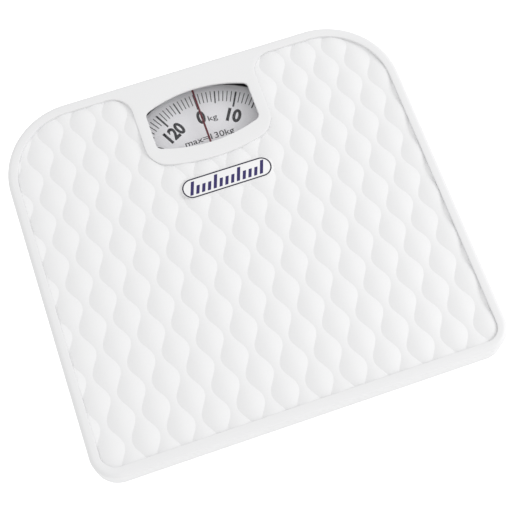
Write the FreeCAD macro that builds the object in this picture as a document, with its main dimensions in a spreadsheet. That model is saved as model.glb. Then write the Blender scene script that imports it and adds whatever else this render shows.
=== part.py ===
import FreeCAD, Part
import math
import os
import re
import Sketcher
from FreeCAD import Placement, Rotation, Vector

# A mechanical dial platform scale: a white platform cover rests on four levers, the levers pull a
# calibrating plate down against the main spring, and a bell crank, rack and pinion turn the dial.
# Frame: X to the right, Y away from the user towards the dial, Z up, origin under the middle of
# the footprint at floor level. All lengths are in millimetres and all angles in degrees.

DIMENSIONS = {
    # Platform cover
    "case_half_width": 140.0,
    "case_half_depth": 130.0,
    "case_top": 42.0,
    "case_near_corner": 17.5,
    "case_far_corner": 52.0,
    "skirt_bottom": 22.0,
    "skirt_wall": 2.4,
    "rim_rounding": 3.5,
    "deck_top": 39.0,
    "deck_bottom": 36.6,
    "rib_height": 5.0,
    "rib_wall": 1.8,
    "rib_inner": 50.0,
    "rib_outer": 84.0,
    "cross_rib_first": -72.0,
    "cross_rib_step": 42.0,
    "post_radius": 8.5,
    "post_bottom": 24.0,
    # Mat
    "mat_half_width": 133.0,
    "mat_near": -123.5,
    "mat_far": 122.5,
    "mat_near_corner": 10.4,
    "mat_far_corner": 45.0,
    "mat_gap": 0.4,
    "mat_top": 41.2,
    # Dial housing tab that the mat is cut out round
    "tab_half_width": 44.7,
    "tab_lobe_corner": 14.8,
    "tab_corner": 16.6,
    "tab_arc_radius": 126.5,
    "tab_near": 57.7,
    # Window, lens and pointer
    "window_half_width": 36.8,
    "window_side_near": 76.0,
    "window_side_far": 103.5,
    "window_near_radius": 101.0,
    "window_far_radius": 92.0,
    "window_corner": 4.0,
    "window_chamfer": 1.2,
    "lens_half_width": 42.0,
    "lens_near": 63.5,
    "lens_far": 116.5,
    "lens_thickness": 1.4,
    "pointer_width": 0.9,
    "pointer_thickness": 0.5,
    "pointer_near": 65.0,
    "pointer_far": 115.0,
    # Badge
    "badge_half_length": 31.8,
    "badge_radius": 7.4,
    "badge_centre_x": 1.2,
    "badge_centre_y": 39.8,
    "badge_top": 41.8,
    # Base tray
    "tray_half_width": 133.0,
    "tray_half_depth": 123.0,
    "tray_near_corner": 12.0,
    "tray_far_corner": 45.5,
    "tray_bottom": 7.0,
    "floor_top": 8.5,
    "tray_top": 30.0,
    "tray_wall": 1.6,
    "tray_edge": 3.0,
    # Feet
    "foot_radius": 12.0,
    "foot_edge": 1.2,
    "foot_stem": 2.9,
    "foot_hole": 3.0,
    "foot_head": 4.6,
    "foot_head_top": 10.4,
    "foot_near_x": 112.0,
    "foot_near_y": -82.0,
    "foot_far_x": 104.0,
    "foot_far_y": 73.0,
    # Levers, in the frame of each lever: Y along the bar from the fulcrum, Z above the fulcrum
    "fulcrum_z": 15.0,
    "long_root_x": 112.0,
    "long_root_y": -104.0,
    "long_tip_x": 12.0,
    "long_tip_y": 96.0,
    "short_root_x": 100.0,
    "short_root_y": 96.0,
    "short_tip_x": 62.0,
    "short_tip_y": -4.0,
    "load_share": 18.0,
    "bar_wall": 2.5,
    "bar_root_height": 8.0,
    "bar_tip_height": 5.0,
    "bar_overhang": 6.0,
    "long_tip_rise": 4.8,
    "short_tip_rise": 8.3,
    "nib_depth": 1.2,
    "nib_half_length": 2.0,
    "knife_radius": 2.0,
    "knife_half_length": 7.5,
    "notch_radius": 2.05,
    "cheek_inner": 2.2,
    "cheek_wall": 2.2,
    "cheek_half_depth": 5.0,
    "cheek_rise": 3.6,
    "bracket_half_width": 8.6,
    "bracket_floor": 1.5,
    "saddle_half_width": 7.6,
    "saddle_half_depth": 5.5,
    "saddle_drop": 0.9,
    "saddle_slot_rise": 6.0,
    "rivet_x": 6.5,
    "rivet_radius": 1.2,
    "rivet_head": 1.9,
    "rivet_head_height": 0.9,
    # Calibrating plate and main spring
    "plate_bottom": 15.2,
    "plate_thickness": 1.8,
    "plate_half_width": 17.0,
    "plate_near": 93.0,
    "plate_far": 104.5,
    "tongue_near": 84.0,
    "tongue_left": 4.6,
    "tongue_width": 4.8,
    "spring_y": 100.0,
    "spring_radius": 6.6,
    "spring_wire": 1.0,
    "spring_bottom": 18.4,
    "spring_rise": 5.2,
    "spring_pitch": 2.1,
    "hook_hole": 2.4,
    # Spring hanger, its bracket and the zero adjuster
    "hanger_pivot_y": 94.5,
    "hanger_z": 25.9,
    "hanger_half_width": 17.6,
    "hanger_thickness": 1.8,
    "hanger_neck": 7.5,
    "hanger_far": 120.6,
    "hanger_tube": 2.2,
    "pivot_radius": 1.2,
    "pivot_hole": 1.25,
    "spring_cheek_x": 18.6,
    "spring_cheek_near": 91.5,
    "spring_cheek_depth": 6.5,
    "spring_cheek_top": 27.9,
    "sheet_wall": 1.6,
    "spring_floor": 0.8,
    "flange_length": 7.0,
    "knob_y": 118.0,
    "knob_radius": 9.0,
    "knob_bottom": 9.8,
    "knob_height": 5.2,
    "knob_grooves": 24.0,
    "knob_groove_radius": 0.6,
    "slot_half_width": 9.2,
    "slot_top": 15.8,
    "slot_bottom": 9.4,
    "zero_screw_radius": 2.0,
    "zero_screw_hole": 2.05,
    "zero_screw_clearance": 2.4,
    "zero_head_radius": 3.2,
    "zero_head_height": 0.6,
    # Bell crank
    "crank_x": 6.0,
    "crank_wall": 1.5,
    "crank_y": 80.0,
    "crank_z": 11.9,
    "crank_hub": 2.5,
    "crank_short_arm": 4.4,
    "crank_long_arm": 15.17,
    "crank_arm_half_width": 0.8,
    "crank_swing": 59.6,
    "crank_pin_radius": 0.6,
    "crank_pin_left": 3.2,
    "crank_cheek_x": 8.0,
    "crank_cheek_half_depth": 3.6,
    "crank_cheek_top": 15.0,
    # Rack, guide and return spring
    "gear_module": 0.4,
    "pinion_teeth": 12.0,
    "tooth_share": 0.36,
    "rack_right": 5.5,
    "rack_near": 28.0,
    "rack_far": 75.2,
    "rack_bottom": 20.0,
    "rack_top": 23.0,
    "rack_tooth_near": 31.0,
    "rack_tooth_far": 53.0,
    "rack_head_near": 69.6,
    "rack_head_top": 27.9,
    "rack_slot_bottom": 23.9,
    "rack_slot_top": 28.5,
    "rack_slot_half_width": 0.95,
    "guide_near": 58.0,
    "guide_far": 64.0,
    "guide_gap": 0.3,
    "guide_wall": 1.5,
    "return_spring_radius": 1.6,
    "return_spring_wire": 0.25,
    "return_spring_near": -5.6,
    "return_spring_length": 32.0,
    "return_spring_pitch": 1.0,
    "anchor_y": -8.0,
    # Dial and its spindle
    "dial_y": 50.0,
    "dial_radius": 68.4,
    "dial_bottom": 28.4,
    "dial_thickness": 0.6,
    "spindle_radius": 1.25,
    "spindle_bore": 1.27,
    "spindle_running_bore": 1.32,
    "spindle_bottom": 9.1,
    "spindle_top": 30.1,
    "hub_radius": 6.0,
    "hub_bottom": 27.0,
    "nut_radius": 3.0,
    "nut_height": 1.4,
    "pinion_bottom": 19.4,
    "pinion_top": 23.6,
    "bridge_half_width": 22.0,
    "bridge_half_depth": 8.0,
    "bridge_bottom": 24.2,
    "bridge_top": 25.6,
    "bushing_radius": 3.0,
    "bushing_hole": 3.05,
    "bushing_bottom": 23.9,
    "bushing_top": 26.4,
    "step_radius": 4.0,
    "step_top": 11.5,
    # Fixings
    "screw_radius": 1.4,
    "screw_hole": 1.45,
    "screw_head": 2.4,
    "screw_head_height": 1.3,
    "bridge_screw_x": 24.8,
    "spring_screw_x": 23.8,
    "crank_screw_x": 13.0,
    "guide_screw_x": 10.6,
    "anchor_screw_y": -12.5,
    # Springs that hold the platform to the tray
    "retainer_x": 121.0,
    "retainer_y": -12.0,
    "retainer_radius": 2.6,
    "retainer_wire": 0.4,
    "retainer_bottom": 12.0,
    "retainer_rise": 21.0,
    "retainer_pitch": 1.6,
    "tab_width": 8.0,
    # Small gaps and overshoots
    "over": 1.0,
    "pick_gap": 0.1,
    "rib_end_gap": 4.0,
    "rivet_gap": 0.05,
    "bar_chamfer": 1.0,
    "saddle_gap": 0.35,
    "pivot_gap": 0.02,
    "pin_proud": 0.6,
    "head_gap": 0.1,
    "screw_foot_gap": 0.7,
    "fork_proud": 0.3,
    "eye_extra": 0.2,
    "ledge_gap": 0.6,
    "anchor_width": 6.0,
    "anchor_foot": 8.0,
    "shank_gap": 0.2,
    "tab_gap": 0.7,
    "spindle_gap": 0.1,
    "bore_reach": 5.0,
}

DEDENDUM = 1.25
SIDES = {"left": -1.0, "right": 1.0}
PRESSURE_ANGLE = math.radians(20)

doc = FreeCAD.newDocument("dial_platform_scale")
sheet = doc.addObject("Spreadsheet::Sheet", "dims")
for row, (alias, value) in enumerate(DIMENSIONS.items(), start=1):
    sheet.set(f"A{row}", alias)
    sheet.set(f"B{row}", str(value))
    sheet.setAlias(f"B{row}", alias)
doc.recompute()

nodes = {}


# Expressions and values ---------------------------------------------------------------------


def bound(text):
    """The expression with each alias pointed at the sheet."""
    def point(match):
        word = match.group(0)
        return f"dims.{word}" if word in DIMENSIONS else word
    return re.sub(r"[a-z_]+", point, str(text))


def number(text):
    """What an expression comes to now."""
    return float(sheet.evalExpression(bound(text)))


def bind(item, **sizes):
    for name, text in sizes.items():
        item.setExpression(name, bound(text))


def place(item, x="0", y="0", z="0", rotation=None):
    """Puts an object at a point given by expressions, turned by a fixed rotation."""
    item.Placement = Placement(Vector(number(x), number(y), number(z)), rotation or Rotation())
    for axis, text in zip("xyz", (x, y, z)):
        item.setExpression(f"Placement.Base.{axis}", bound(text))


def keep(item, label):
    """Names an object as a piece of the scale."""
    item.Label = label
    nodes[label] = item
    return item


# Part primitives and booleans ---------------------------------------------------------------


ALONG = {
    "z": Rotation(),
    "x": Rotation(Vector(0, 1, 0), 90),
    "y": Rotation(Vector(1, 0, 0), -90),
}


def box(x, y, z, length, width, height):
    """A box with its lowest corner at x, y, z."""
    item = doc.addObject("Part::Box", "block")
    bind(item, Length=length, Width=width, Height=height)
    place(item, x, y, z)
    return item


def cylinder(x, y, z, radius, height, axis="z"):
    """A cylinder that starts at x, y, z and runs along an axis."""
    item = doc.addObject("Part::Cylinder", "round")
    bind(item, Radius=radius, Height=height)
    place(item, x, y, z, ALONG[axis])
    return item


def fuse(*items):
    item = doc.addObject("Part::MultiFuse", "joined")
    item.Shapes = list(items)
    item.Refine = True
    return item


def cut(base, *tools):
    for tool in tools:
        item = doc.addObject("Part::Cut", "cut")
        item.Base = base
        item.Tool = tool
        base = item
    return base


def group(label, items):
    """Identical loose pieces that share one node."""
    item = doc.addObject("Part::Compound", label)
    item.Links = list(items)
    return keep(item, label)


def coil(label, radius, wire, height, pitch):
    """A coil spring's wire, standing on Z from its own origin."""
    helix = doc.addObject("Part::Helix", f"{label}_line")
    bind(helix, Radius=radius, Height=height, Pitch=pitch)
    ring = doc.addObject("Part::Circle", f"{label}_wire")
    bind(ring, Radius=wire)
    ring.Placement = Placement(Vector(number(radius), 0, 0), ALONG["y"])
    ring.setExpression("Placement.Base.x", bound(radius))
    doc.recompute()
    sweep = doc.addObject("Part::Sweep", f"{label}_coil")
    sweep.Sections = [ring]
    sweep.Spine = (helix, [f"Edge{n + 1}" for n in range(len(helix.Shape.Edges))])
    sweep.Solid = True
    sweep.Frenet = True
    return sweep


# Bodies and sketches ------------------------------------------------------------------------


def new_body(label):
    return keep(doc.addObject("PartDesign::Body", label), label)


def new_sketch(body, level="0", plane="XY_Plane"):
    """A sketch on one of the body's own planes, raised to a level."""
    sketch = body.newObject("Sketcher::SketchObject", f"{body.Name}_sketch")
    support = next(f for f in body.Origin.OriginFeatures if f.Role == plane)
    sketch.AttachmentSupport = [(support, "")]
    sketch.MapMode = "FlatFace"
    sketch.AttachmentOffset = Placement(Vector(0, 0, number(level)), Rotation())
    sketch.setExpression("AttachmentOffset.Base.z", bound(level))
    return sketch


def constrain(sketch, kind, *where, text):
    """A named constraint whose value is an expression."""
    index = sketch.addConstraint(Sketcher.Constraint(kind, *where, number(text)))
    name = f"{kind.lower()}_{index}"
    sketch.renameConstraint(index, name)
    sketch.setExpression(f"Constraints.{name}", bound(text))


def arc_middle(start, end, radius, bulge):
    """A point half way along the arc; bulge is 1 to the right of the way from start to end."""
    half = (end - start) * 0.5
    sagitta = radius - math.sqrt(max(radius * radius - half.Length ** 2, 0))
    side = Vector(half.y, -half.x, 0).normalize()
    return start + half + side * (sagitta * bulge)


def outline(sketch, corners):
    """A closed line through corners (x, y) or (x, y, radius, bulge), where the last two bend the
    edge that leaves the corner. Every corner and radius is bound to the sheet."""
    first = sketch.GeometryCount
    points = [Vector(number(c[0]), number(c[1]), 0) for c in corners]
    count = len(corners)
    ends = []
    for i, corner in enumerate(corners):
        start, end = points[i], points[(i + 1) % count]
        if len(corner) == 2:
            sketch.addGeometry(Part.LineSegment(start, end), False)
            ends.append((1, 2))
            continue
        middle = arc_middle(start, end, number(corner[2]), corner[3])
        arc = Part.Arc(start, middle, end)
        sketch.addGeometry(arc, False)
        ends.append((1, 2) if corner[3] > 0 else (2, 1))
    for i in range(count):
        after = (i + 1) % count
        sketch.addConstraint(
            Sketcher.Constraint("Coincident", first + i, ends[i][1], first + after, ends[after][0]))
    for i, corner in enumerate(corners):
        constrain(sketch, "DistanceX", -1, 1, first + i, ends[i][0], text=corner[0])
        constrain(sketch, "DistanceY", -1, 1, first + i, ends[i][0], text=corner[1])
        if len(corner) == 4:
            constrain(sketch, "Radius", first + i, text=corner[2])
    doc.recompute()


def circles(sketch, centres, radius):
    for x, y in centres:
        index = sketch.addGeometry(
            Part.Circle(Vector(number(x), number(y), 0), Vector(0, 0, 1), number(radius)), False)
        constrain(sketch, "DistanceX", -1, 1, index, 3, text=x)
        constrain(sketch, "DistanceY", -1, 1, index, 3, text=y)
        constrain(sketch, "Radius", index, text=radius)
    doc.recompute()


def pad(body, sketch, length, down=False, middle=False):
    feature = body.newObject("PartDesign::Pad", f"{body.Name}_pad")
    feature.Profile = sketch
    feature.Reversed = down
    feature.SideType = "Symmetric" if middle else "One side"
    bind(feature, Length=length)
    doc.recompute()
    return feature


def pocket(body, sketch, length, up=False, middle=False):
    """Cuts a sketch out of the body, downwards unless told otherwise, and checks that it cut."""
    before = body.Shape.Volume
    feature = body.newObject("PartDesign::Pocket", f"{body.Name}_pocket")
    feature.Profile = sketch
    feature.Reversed = up
    feature.SideType = "Symmetric" if middle else "One side"
    bind(feature, Length=length)
    doc.recompute()
    if body.Shape.Volume > before - 0.01:
        raise RuntimeError(f"a pocket in {body.Label} cut nothing")
    return feature


def dress(body, kind, size, chosen):
    """A fillet or chamfer on the edges that chosen picks."""
    base = body.Tip
    edges = [f"Edge{n + 1}" for n, edge in enumerate(base.Shape.Edges) if chosen(edge)]
    feature = body.newObject(f"PartDesign::{kind}", f"{body.Name}_{kind.lower()}")
    feature.Base = (base, edges)
    bind(feature, **{"Radius" if kind == "Fillet" else "Size": size})
    doc.recompute()
    return feature


def at_level(edge, level):
    """True for an edge that lies flat at a height."""
    return abs(edge.BoundBox.ZMin - level) < 0.01 and abs(edge.BoundBox.ZMax - level) < 0.01


# Outlines -----------------------------------------------------------------------------------


def case_outline(half_width, near, far, near_corner, far_corner):
    """A rounded rectangle with small corners near the user and large ones by the dial."""
    w, n, f, a, b = half_width, near, far, near_corner, far_corner
    return [
        (f"-({w}) + {a}", n),
        (f"{w} - {a}", n, a, 1),
        (w, f"{n} + {a}"),
        (w, f"{f} - {b}", b, 1),
        (f"{w} - {b}", f),
        (f"-({w}) + {b}", f, b, 1),
        (f"-({w})", f"{f} - {b}"),
        (f"-({w})", f"{n} + {a}", a, 1),
    ]


def mat_outline(gap):
    """The mat's edge, grown outwards by gap: a rounded rectangle with a notch round the tab."""
    w = f"(mat_half_width + {gap})"
    near = f"(mat_near - {gap})"
    far = f"(mat_far + {gap})"
    small = f"(mat_near_corner + {gap})"
    large = f"(mat_far_corner + {gap})"
    lobe = f"(tab_lobe_corner + {gap})"
    side = f"(tab_half_width - {gap})"
    inner = f"(tab_corner - {gap})"
    arc = f"(tab_arc_radius - {gap})"
    middle = "(tab_near + tab_arc_radius)"
    corner_x = f"(tab_half_width - tab_corner)"
    corner_y = f"({middle} - sqrt((tab_arc_radius - tab_corner)^2 - {corner_x}^2))"
    share = f"({arc} / (tab_arc_radius - tab_corner))"
    foot_x = f"({corner_x} * {share})"
    foot_y = f"({middle} - ({middle} - {corner_y}) * {share})"
    return [
        (f"-{w} + {small}", near),
        (f"{w} - {small}", near, small, 1),
        (w, f"{near} + {small}"),
        (w, f"{far} - {large}", large, 1),
        (f"{w} - {large}", far),
        (f"{side} + {lobe}", far, lobe, 1),
        (side, f"{far} - {lobe}"),
        (side, corner_y, inner, -1),
        (foot_x, foot_y, arc, -1),
        (f"-{foot_x}", foot_y, inner, -1),
        (f"-{side}", corner_y),
        (f"-{side}", f"{far} - {lobe}", lobe, 1),
        (f"-{side} - {lobe}", far),
        (f"-{w} + {large}", far, large, 1),
        (f"-{w}", f"{far} - {large}"),
        (f"-{w}", f"{near} + {small}", small, 1),
    ]


def rectangle(left, near, right, far):
    return [(left, near), (right, near), (right, far), (left, far)]


# Platform -----------------------------------------------------------------------------------


def load_posts():
    """Where the platform bears on each lever."""
    for lever in LEVERS.values():
        yield lever.point("load_share")


def make_platform_shell():
    body = new_body("platform_shell")
    whole = case_outline("case_half_width", "-case_half_depth", "case_half_depth",
                         "case_near_corner", "case_far_corner")
    hollow = case_outline("(case_half_width - skirt_wall)", "-(case_half_depth - skirt_wall)",
                          "(case_half_depth - skirt_wall)", "(case_near_corner - skirt_wall)",
                          "(case_far_corner - skirt_wall)")
    sketch = new_sketch(body, "skirt_bottom")
    outline(sketch, whole)
    pad(body, sketch, "case_top - skirt_bottom")
    dress(body, "Fillet", "rim_rounding", lambda edge: at_level(edge, number("case_top")))

    sketch = new_sketch(body, "skirt_bottom")
    outline(sketch, hollow)
    pocket(body, sketch, "deck_bottom - skirt_bottom", up=True)

    sketch = new_sketch(body, "case_top")
    outline(sketch, mat_outline("mat_gap"))
    pocket(body, sketch, "case_top - deck_top")

    sketch = new_sketch(body, "case_top")
    w, n, f = "window_half_width", "window_side_near", "window_side_far"
    outline(sketch, [
        (f"-{w}", n, "window_near_radius", 1),
        (w, n),
        (w, f, "window_far_radius", 1),
        (f"-{w}", f),
    ])
    pocket(body, sketch, "case_top - deck_bottom + over")
    dress(body, "Fillet", "window_corner", lambda edge: is_window_corner(edge))
    dress(body, "Chamfer", "window_chamfer", lambda edge: is_window_rim(edge))

    for rectangles in (long_ribs(), cross_ribs()):
        sketch = new_sketch(body, "deck_bottom")
        for corners in rectangles:
            outline(sketch, corners)
        pad(body, sketch, "rib_height", down=True)

    sketch = new_sketch(body, "deck_bottom")
    circles(sketch, load_posts(), "post_radius")
    pad(body, sketch, "deck_bottom - post_bottom", down=True)


def is_window_corner(edge):
    x = number("window_half_width")
    upright = edge.BoundBox.ZLength > 1 and edge.BoundBox.XLength < 0.01
    return upright and edge.BoundBox.YLength < 0.01 and abs(abs(edge.BoundBox.XMin) - x) < 0.01


def is_window_rim(edge):
    bounds = edge.BoundBox
    inside = abs(bounds.XMax) < number("window_half_width + pick_gap") and bounds.YMin > number("tab_near")
    return at_level(edge, number("case_top")) and inside and bounds.YMax < number("mat_far - over")


def long_ribs():
    end = "(case_half_depth - rib_end_gap)"
    for x in ("rib_inner", "rib_outer"):
        for sign in ("-", ""):
            centre = f"{sign}{x}"
            yield rectangle(f"{centre} - rib_wall / 2", f"-{end}", f"{centre} + rib_wall / 2", end)


def cross_ribs():
    end = "(case_half_width - rib_end_gap)"
    for step in range(3):
        centre = f"(cross_rib_first + cross_rib_step * {step})"
        yield rectangle(f"-{end}", f"{centre} - rib_wall / 2", end, f"{centre} + rib_wall / 2")


def make_mat():
    body = new_body("mat")
    sketch = new_sketch(body, "deck_top")
    outline(sketch, mat_outline("0"))
    pad(body, sketch, "mat_top - deck_top")


def make_badge():
    body = new_body("badge")
    sketch = new_sketch(body, "mat_top")
    left = "badge_centre_x - badge_half_length + badge_radius"
    right = "badge_centre_x + badge_half_length - badge_radius"
    low = "badge_centre_y - badge_radius"
    high = "badge_centre_y + badge_radius"
    outline(sketch, [
        (left, low),
        (right, low, "badge_radius", 1),
        (right, high),
        (left, high, "badge_radius", 1),
    ])
    pad(body, sketch, "badge_top - mat_top")


def make_lens_and_pointer():
    body = new_body("window_lens")
    sketch = new_sketch(body, "deck_bottom - lens_thickness")
    outline(sketch, rectangle("-lens_half_width", "lens_near", "lens_half_width", "lens_far"))
    pad(body, sketch, "lens_thickness")
    dress(body, "Fillet", "window_corner", lambda edge: edge.BoundBox.ZLength > 1)
    keep(box("-pointer_width / 2", "pointer_near",
             "deck_bottom - lens_thickness - pointer_thickness",
             "pointer_width", "pointer_far - pointer_near", "pointer_thickness"), "pointer")


# Base tray and feet -------------------------------------------------------------------------


FEET = {
    "foot_near_left": ("-foot_near_x", "foot_near_y"),
    "foot_near_right": ("foot_near_x", "foot_near_y"),
    "foot_far_left": ("-foot_far_x", "foot_far_y"),
    "foot_far_right": ("foot_far_x", "foot_far_y"),
}


def screw_points():
    """Where screws hold the mechanism's brackets to the tray floor."""
    points = []
    for sign in ("-", ""):
        points.append((f"{sign}bridge_screw_x", "dial_y", "floor_top + sheet_wall"))
        points.append((f"{sign}spring_screw_x", "spring_cheek_near + spring_cheek_depth / 2",
                       "floor_top + spring_floor"))
    points.append(("crank_screw_x", "crank_y", "floor_top + sheet_wall"))
    points.append(("guide_screw_x", "(guide_near + guide_far) / 2", "floor_top + sheet_wall"))
    points.append(("(gear_module * pinion_teeth / 2 + rack_right) / 2", "anchor_screw_y",
                   "floor_top + sheet_wall"))
    return points


def make_base_tray():
    body = new_body("base_tray")
    w, d = "tray_half_width", "tray_half_depth"
    sketch = new_sketch(body, "tray_bottom")
    outline(sketch, case_outline(w, f"-{d}", d, "tray_near_corner", "tray_far_corner"))
    pad(body, sketch, "tray_top - tray_bottom")
    dress(body, "Fillet", "tray_edge", lambda edge: at_level(edge, number("tray_bottom")))
    sketch = new_sketch(body, "tray_top")
    outline(sketch, case_outline(f"({w} - tray_wall)", f"-({d} - tray_wall)", f"({d} - tray_wall)",
                                 "(tray_near_corner - tray_wall)",
                                 "(tray_far_corner - tray_wall)"))
    pocket(body, sketch, "tray_top - floor_top")
    sketch = new_sketch(body, "slot_top")
    outline(sketch, rectangle("-slot_half_width", f"{d} - 2 * tray_wall", "slot_half_width",
                              f"{d} + over"))
    pocket(body, sketch, "slot_top - slot_bottom")
    for points, radius in (
        (FEET.values(), "foot_hole"),
        ([p[:2] for p in screw_points()], "screw_hole"),
        (rivet_points(), "rivet_radius + rivet_gap"),
    ):
        sketch = new_sketch(body, "floor_top")
        circles(sketch, points, radius)
        pocket(body, sketch, "floor_top - tray_bottom + over")


def make_feet():
    """Rubber feet turned to one profile, each with a stem that snaps through the tray floor."""
    for label, (x, y) in FEET.items():
        body = new_body(label)
        sketch = new_sketch(body, plane="XZ_Plane")
        outline(sketch, [
            ("0", "0"),
            ("foot_radius - foot_edge", "0"),
            ("foot_radius", "foot_edge"),
            ("foot_radius", "tray_bottom"),
            ("foot_stem", "tray_bottom"),
            ("foot_stem", "floor_top"),
            ("foot_head", "floor_top"),
            ("foot_stem", "foot_head_top"),
            ("0", "foot_head_top"),
        ])
        turned = body.newObject("PartDesign::Revolution", f"{label}_turned")
        turned.Profile = sketch
        turned.ReferenceAxis = (sketch, ["V_Axis"])
        turned.Angle = 360
        place(body, x, y)
        doc.recompute()


# Levers -------------------------------------------------------------------------------------


class Lever:
    """Where one lever lies: its fulcrum, its tip and its direction seen from above."""

    def __init__(self, kind, side):
        self.sign = SIDES[side]
        self.root_x = f"{self.sign:g} * {kind}_root_x"
        self.root_y = f"{kind}_root_y"
        self.run_x = f"{self.sign:g} * ({kind}_tip_x - {kind}_root_x)"
        self.run_y = f"({kind}_tip_y - {kind}_root_y)"
        self.rise = f"{kind}_tip_rise"
        self.length = f"sqrt(({self.run_x})^2 + {self.run_y}^2)"
        self.turn = Rotation(Vector(0, 0, 1), self.angle())

    def angle(self):
        return math.degrees(math.atan2(-number(self.run_x), number(self.run_y)))

    def point(self, distance, across="0"):
        """The row position of a point some way along the bar, measured along Y, and across it."""
        along = f"(({distance}) / abs({self.run_y}))"
        unit_x = f"(({self.run_x}) / {self.length})"
        unit_y = f"({self.run_y} / {self.length})"
        x = f"{self.root_x} + ({self.run_x}) * {along} + {unit_y} * ({across})"
        y = f"{self.root_y} + {self.run_y} * {along} - {unit_x} * ({across})"
        return x, y

    def load_reach(self):
        """How far the load knife lies from the fulcrum, along the bar."""
        return f"({self.length} * load_share / abs({self.run_y}))"

    def set_down(self, item):
        place(item, self.root_x, self.root_y, "fulcrum_z", self.turn)


LEVERS = {f"{kind}_{side}": Lever(kind, side) for kind in ("long", "short") for side in SIDES}


def rivet_points():
    """Two rivets hold each fulcrum bracket."""
    return [lever.point("0", f"{sign}rivet_x") for lever in LEVERS.values() for sign in ("-", "")]


def make_lever_bar(label, lever):
    """A flat steel bar on edge, deep at the fulcrum and slim at the tip, with a nib under it."""
    body = new_body(label)
    sketch = new_sketch(body, plane="YZ_Plane")
    deep, slim, end = "bar_root_height / 2", "bar_tip_height / 2", f"({lever.length} + nib_half_length)"
    outline(sketch, [
        ("-bar_overhang", f"-({deep}) + bar_chamfer"),
        ("0", f"-({deep})"),
        (lever.load_reach(), f"-({deep})"),
        (f"{end} - 2 * nib_half_length - nib_depth", f"{lever.rise} - {slim} + nib_depth"),
        (f"{end} - 2 * nib_half_length", f"{lever.rise} - {slim}"),
        (end, f"{lever.rise} - {slim}"),
        (end, f"{lever.rise} + {slim} - bar_chamfer"),
        (f"{end} - bar_chamfer", f"{lever.rise} + {slim}"),
        (lever.load_reach(), deep),
        ("-bar_overhang", deep),
    ])
    pad(body, sketch, "bar_wall", middle=True)
    sketch = new_sketch(body, plane="YZ_Plane")
    circles(sketch, [("0", "0"), (lever.load_reach(), "0")], "knife_radius")
    pocket(body, sketch, "bar_wall + over", middle=True)
    lever.set_down(body)
    doc.recompute()


def make_knives(label, lever):
    """The two hardened cross pins that a lever rocks on and carries its load by."""
    pins = [cylinder("-knife_half_length", y, "0", "knife_radius", "2 * knife_half_length", "x")
            for y in ("0", lever.load_reach())]
    lever.set_down(group(label, pins))


def make_fulcrum_bracket(label, lever):
    """A U bracket on the tray floor whose two cheeks are notched for the fulcrum knife."""
    low = "(floor_top - fulcrum_z)"
    plate = box("-bracket_half_width", "-cheek_half_depth", low, "2 * bracket_half_width",
                "2 * cheek_half_depth", "bracket_floor")
    cheeks = [box(x, "-cheek_half_depth", low, "cheek_wall", "2 * cheek_half_depth",
                  f"cheek_rise - {low}") for x in ("cheek_inner", "-cheek_inner - cheek_wall")]
    seat = cylinder("-bracket_half_width", "0", "0", "notch_radius", "2 * bracket_half_width", "x")
    mouth = box("-bracket_half_width", "-notch_radius", "0", "2 * bracket_half_width",
                "2 * notch_radius", "cheek_rise + over")
    holes = [cylinder(f"{sign}rivet_x", "0", f"{low} - over", "rivet_radius + rivet_gap",
                      "bracket_floor + 2 * over") for sign in ("-", "")]
    item = keep(cut(fuse(plate, *cheeks), seat, mouth, *holes), label)
    lever.set_down(item)


def make_saddle(lever):
    """The steel saddle under a platform post that straddles a bar and rests on its load knife."""
    reach = lever.load_reach()
    low = "-saddle_drop"
    top = "(post_bottom - fulcrum_z)"
    block = box("-saddle_half_width", f"{reach} - saddle_half_depth", low,
                "2 * saddle_half_width", "2 * saddle_half_depth", f"{top} + saddle_drop")
    slot = box("-cheek_inner", f"{reach} - saddle_half_depth - over", f"{low} - over",
               "2 * cheek_inner", "2 * saddle_half_depth + 2 * over", "saddle_slot_rise + saddle_drop + over")
    seat = cylinder("-saddle_half_width - over", reach, "0", "knife_radius + saddle_gap",
                    "2 * saddle_half_width + 2 * over", "x")
    mouth = box("-saddle_half_width - over", f"{reach} - knife_radius - saddle_gap", f"{low} - over",
                "2 * saddle_half_width + 2 * over", "2 * (knife_radius + saddle_gap)", "saddle_drop + over")
    item = cut(block, slot, seat, mouth)
    lever.set_down(item)
    return item


def make_levers():
    for name, lever in LEVERS.items():
        make_lever_bar(f"{name}_lever", lever)
        make_knives(f"{name}_lever_knives", lever)
        make_fulcrum_bracket(f"{name}_fulcrum_bracket", lever)
    group("platform_saddles", [make_saddle(lever) for lever in LEVERS.values()])
    top = "(floor_top + bracket_floor)"
    group("bracket_rivets", [
        fuse(cylinder(x, y, "tray_bottom", "rivet_radius", f"{top} - tray_bottom"),
             cylinder(x, y, top, "rivet_head", "rivet_head_height"))
        for x, y in rivet_points()])


# Calibrating plate, main spring and zero adjuster -------------------------------------------


def make_calibrating_plate():
    body = new_body("calibrating_plate")
    sketch = new_sketch(body, "plate_bottom")
    left, right = "tongue_left", "tongue_left + tongue_width"
    outline(sketch, [
        ("-plate_half_width", "plate_near"),
        (left, "plate_near"),
        (left, "tongue_near"),
        (right, "tongue_near"),
        (right, "plate_near"),
        ("plate_half_width", "plate_near"),
        ("plate_half_width", "plate_far"),
        ("-plate_half_width", "plate_far"),
    ])
    pad(body, sketch, "plate_thickness")
    sketch = new_sketch(body, "plate_bottom + plate_thickness")
    circles(sketch, [("0", "spring_y")], "hook_hole")
    pocket(body, sketch, "plate_thickness + over")


def make_main_spring():
    """The stiff spring that weighs, with a straight hook stem at each end."""
    wound = coil("main_spring", "spring_radius", "spring_wire", "spring_rise", "spring_pitch")
    place(wound, "0", "spring_y", "spring_bottom")
    keep(wound, "main_spring")


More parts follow.
